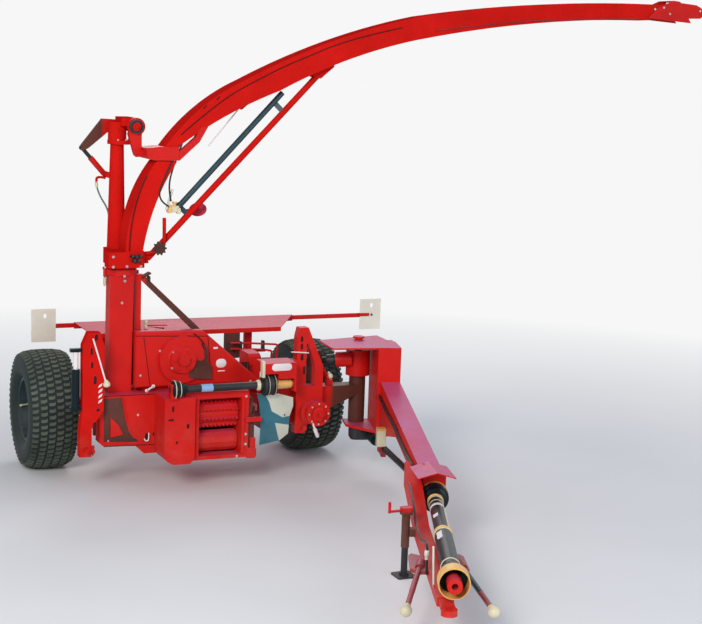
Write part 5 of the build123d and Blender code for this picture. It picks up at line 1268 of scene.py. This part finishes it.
# %% Rings, bells and the end band
GEAR_END, EYE_END = at(*on_beam(225, -1830, 335)), at(*on_front(2114, 30, 395))
SHAFT_WAY = (EYE_END - GEAR_END).normalized()
print("power shaft", round((EYE_END - GEAR_END).length * 1000), "mm")
SHAFT_RINGS = (
    # name, start, end, radius, finish
    ("neck_ring", 156, 186, 52, "yellow_plastic"), ("neck_band", 200, 210, 47, "cream_plastic"),
    ("upper_band", 290, 302, 46.5, "cream_plastic"), ("clip_band", 372, 412, 46, "label_white"),
    ("step_ring", 936, 962, 57, "yellow_plastic"), ("step_band", 974, 988, 55, "cream_plastic"),
    ("cone_ring", 1588, 1600, 55, "cream_plastic"))


def on_shaft(name, look, rows, *stands_for, sides=36):
    """A turned part about the power shaft: rows of distance from the gearbox and radius."""
    turned_part(rows, GEAR_END, SHAFT_WAY, sides)
    return finished(name, look, "drawbar", *stands_for, angle=28)


on_shaft("gear_bell", "black_plastic", (
    (20, 60), (28, 84), (36, 90), (88, 90), (98, 80), (112, 60), (132, 50)))
on_shaft("gear_collar", "yellow_plastic", ((-6, 70), (-4, 92), (26, 92), (28, 70)))
for name, start, end, radius, look in SHAFT_RINGS:
    on_shaft(name, look, ((start, radius - 6), (start + 2, radius), (end - 2, radius), (end, radius - 6)))
on_shaft("end_cone", "black_plastic", (
    (1650, 50), (1664, 56), (1700, 62), (1776, 78), (1800, 82), (1800, 76)))
on_shaft("end_band", "yellow_plastic", (
    (1784, 74), (1786, 83), (1796, 85), (1888, 85), (1894, 83), (1894, 78), (1888, 77), (1800, 74)),
    "pto_cones", sides=44)

# %% Stripe and blank labels on the guard
side = SHAFT_WAY.cross(UPWARD).normalized()
above = side.cross(SHAFT_WAY)
stripe_way = (0.55 * above - 0.65 * side).normalized()
label_way, label_edge = 0.8 * above + 0.6 * side, 0.6 * above - 0.8 * side
tube([(GEAR_END + SHAFT_WAY * d / 1000 + stripe_way * 0.046 - HITCH) * 1000 for d in (310, 500, 700, 925)], 4,
     "guard_stripe", "cream_plastic", "drawbar")
for name, d, wide, out in (("shaft_label", 1095, 130, 0.0522), ("shaft_label_small", 640, 60, 0.0445)):
    label = block((0, 0, 0), (wide, 34, 3), 1)
    label.location = GEAR_END + SHAFT_WAY * d / 1000 + label_way * out
    label.rotation_euler = Matrix((SHAFT_WAY, label_edge, label_way)).transposed().to_euler()
    finished(name, "label_white", "drawbar")

# %% [markdown]
# ## Ball ends of the guide rods
# Two rods reach down beside the hitch eye and end in pale balls, so that the driver sees them from
# the seat. A ball could be a sphere primitive, but as a turned part it gets its collar in one go.

# %% Balls and sleeves of the guide rods
BALL_R, SLEEVE_AT = 33, 0.16                # ball radius; how far down the rod its sleeve starts
for hand, hand_name, root_s, end_s, look in ((-1, "right", 72, 191, "red_worn"),
                                             (1, "left", 140, 263, "blue_black_tube")):
    root, ball = at(*on_front(1430, hand * root_s, 298)), at(*on_front(1911, hand * end_s, 200))
    way = (ball - root).normalized()
    arc = [math.radians(a) for a in range(-80, 81, 16)]
    turned_part([(-30, 17), (-12, 17), (-11, 14)]
                + [(22 + BALL_R * math.sin(a), BALL_R * math.cos(a)) for a in arc], ball, way, 22)
    finished("guide_ball_" + hand_name, "cream_plastic", "drawbar")
    turned_part(((0, 15.2), (0, 16), (250, 16), (250, 15.2)), root.lerp(ball, SLEEVE_AT), way, 18)
    finished("guide_sleeve_" + hand_name, look, "drawbar")

# %% [markdown]
# ## Sizes
# The dressed machine has to stay inside the box of its CAD model, or it would no longer fit where
# the plain one does. The dressed machine's box is printed.

# %% Size of the dressed machine
low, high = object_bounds()
print("visual box", [round(v, 3) for v in low], [round(v, 3) for v in high])
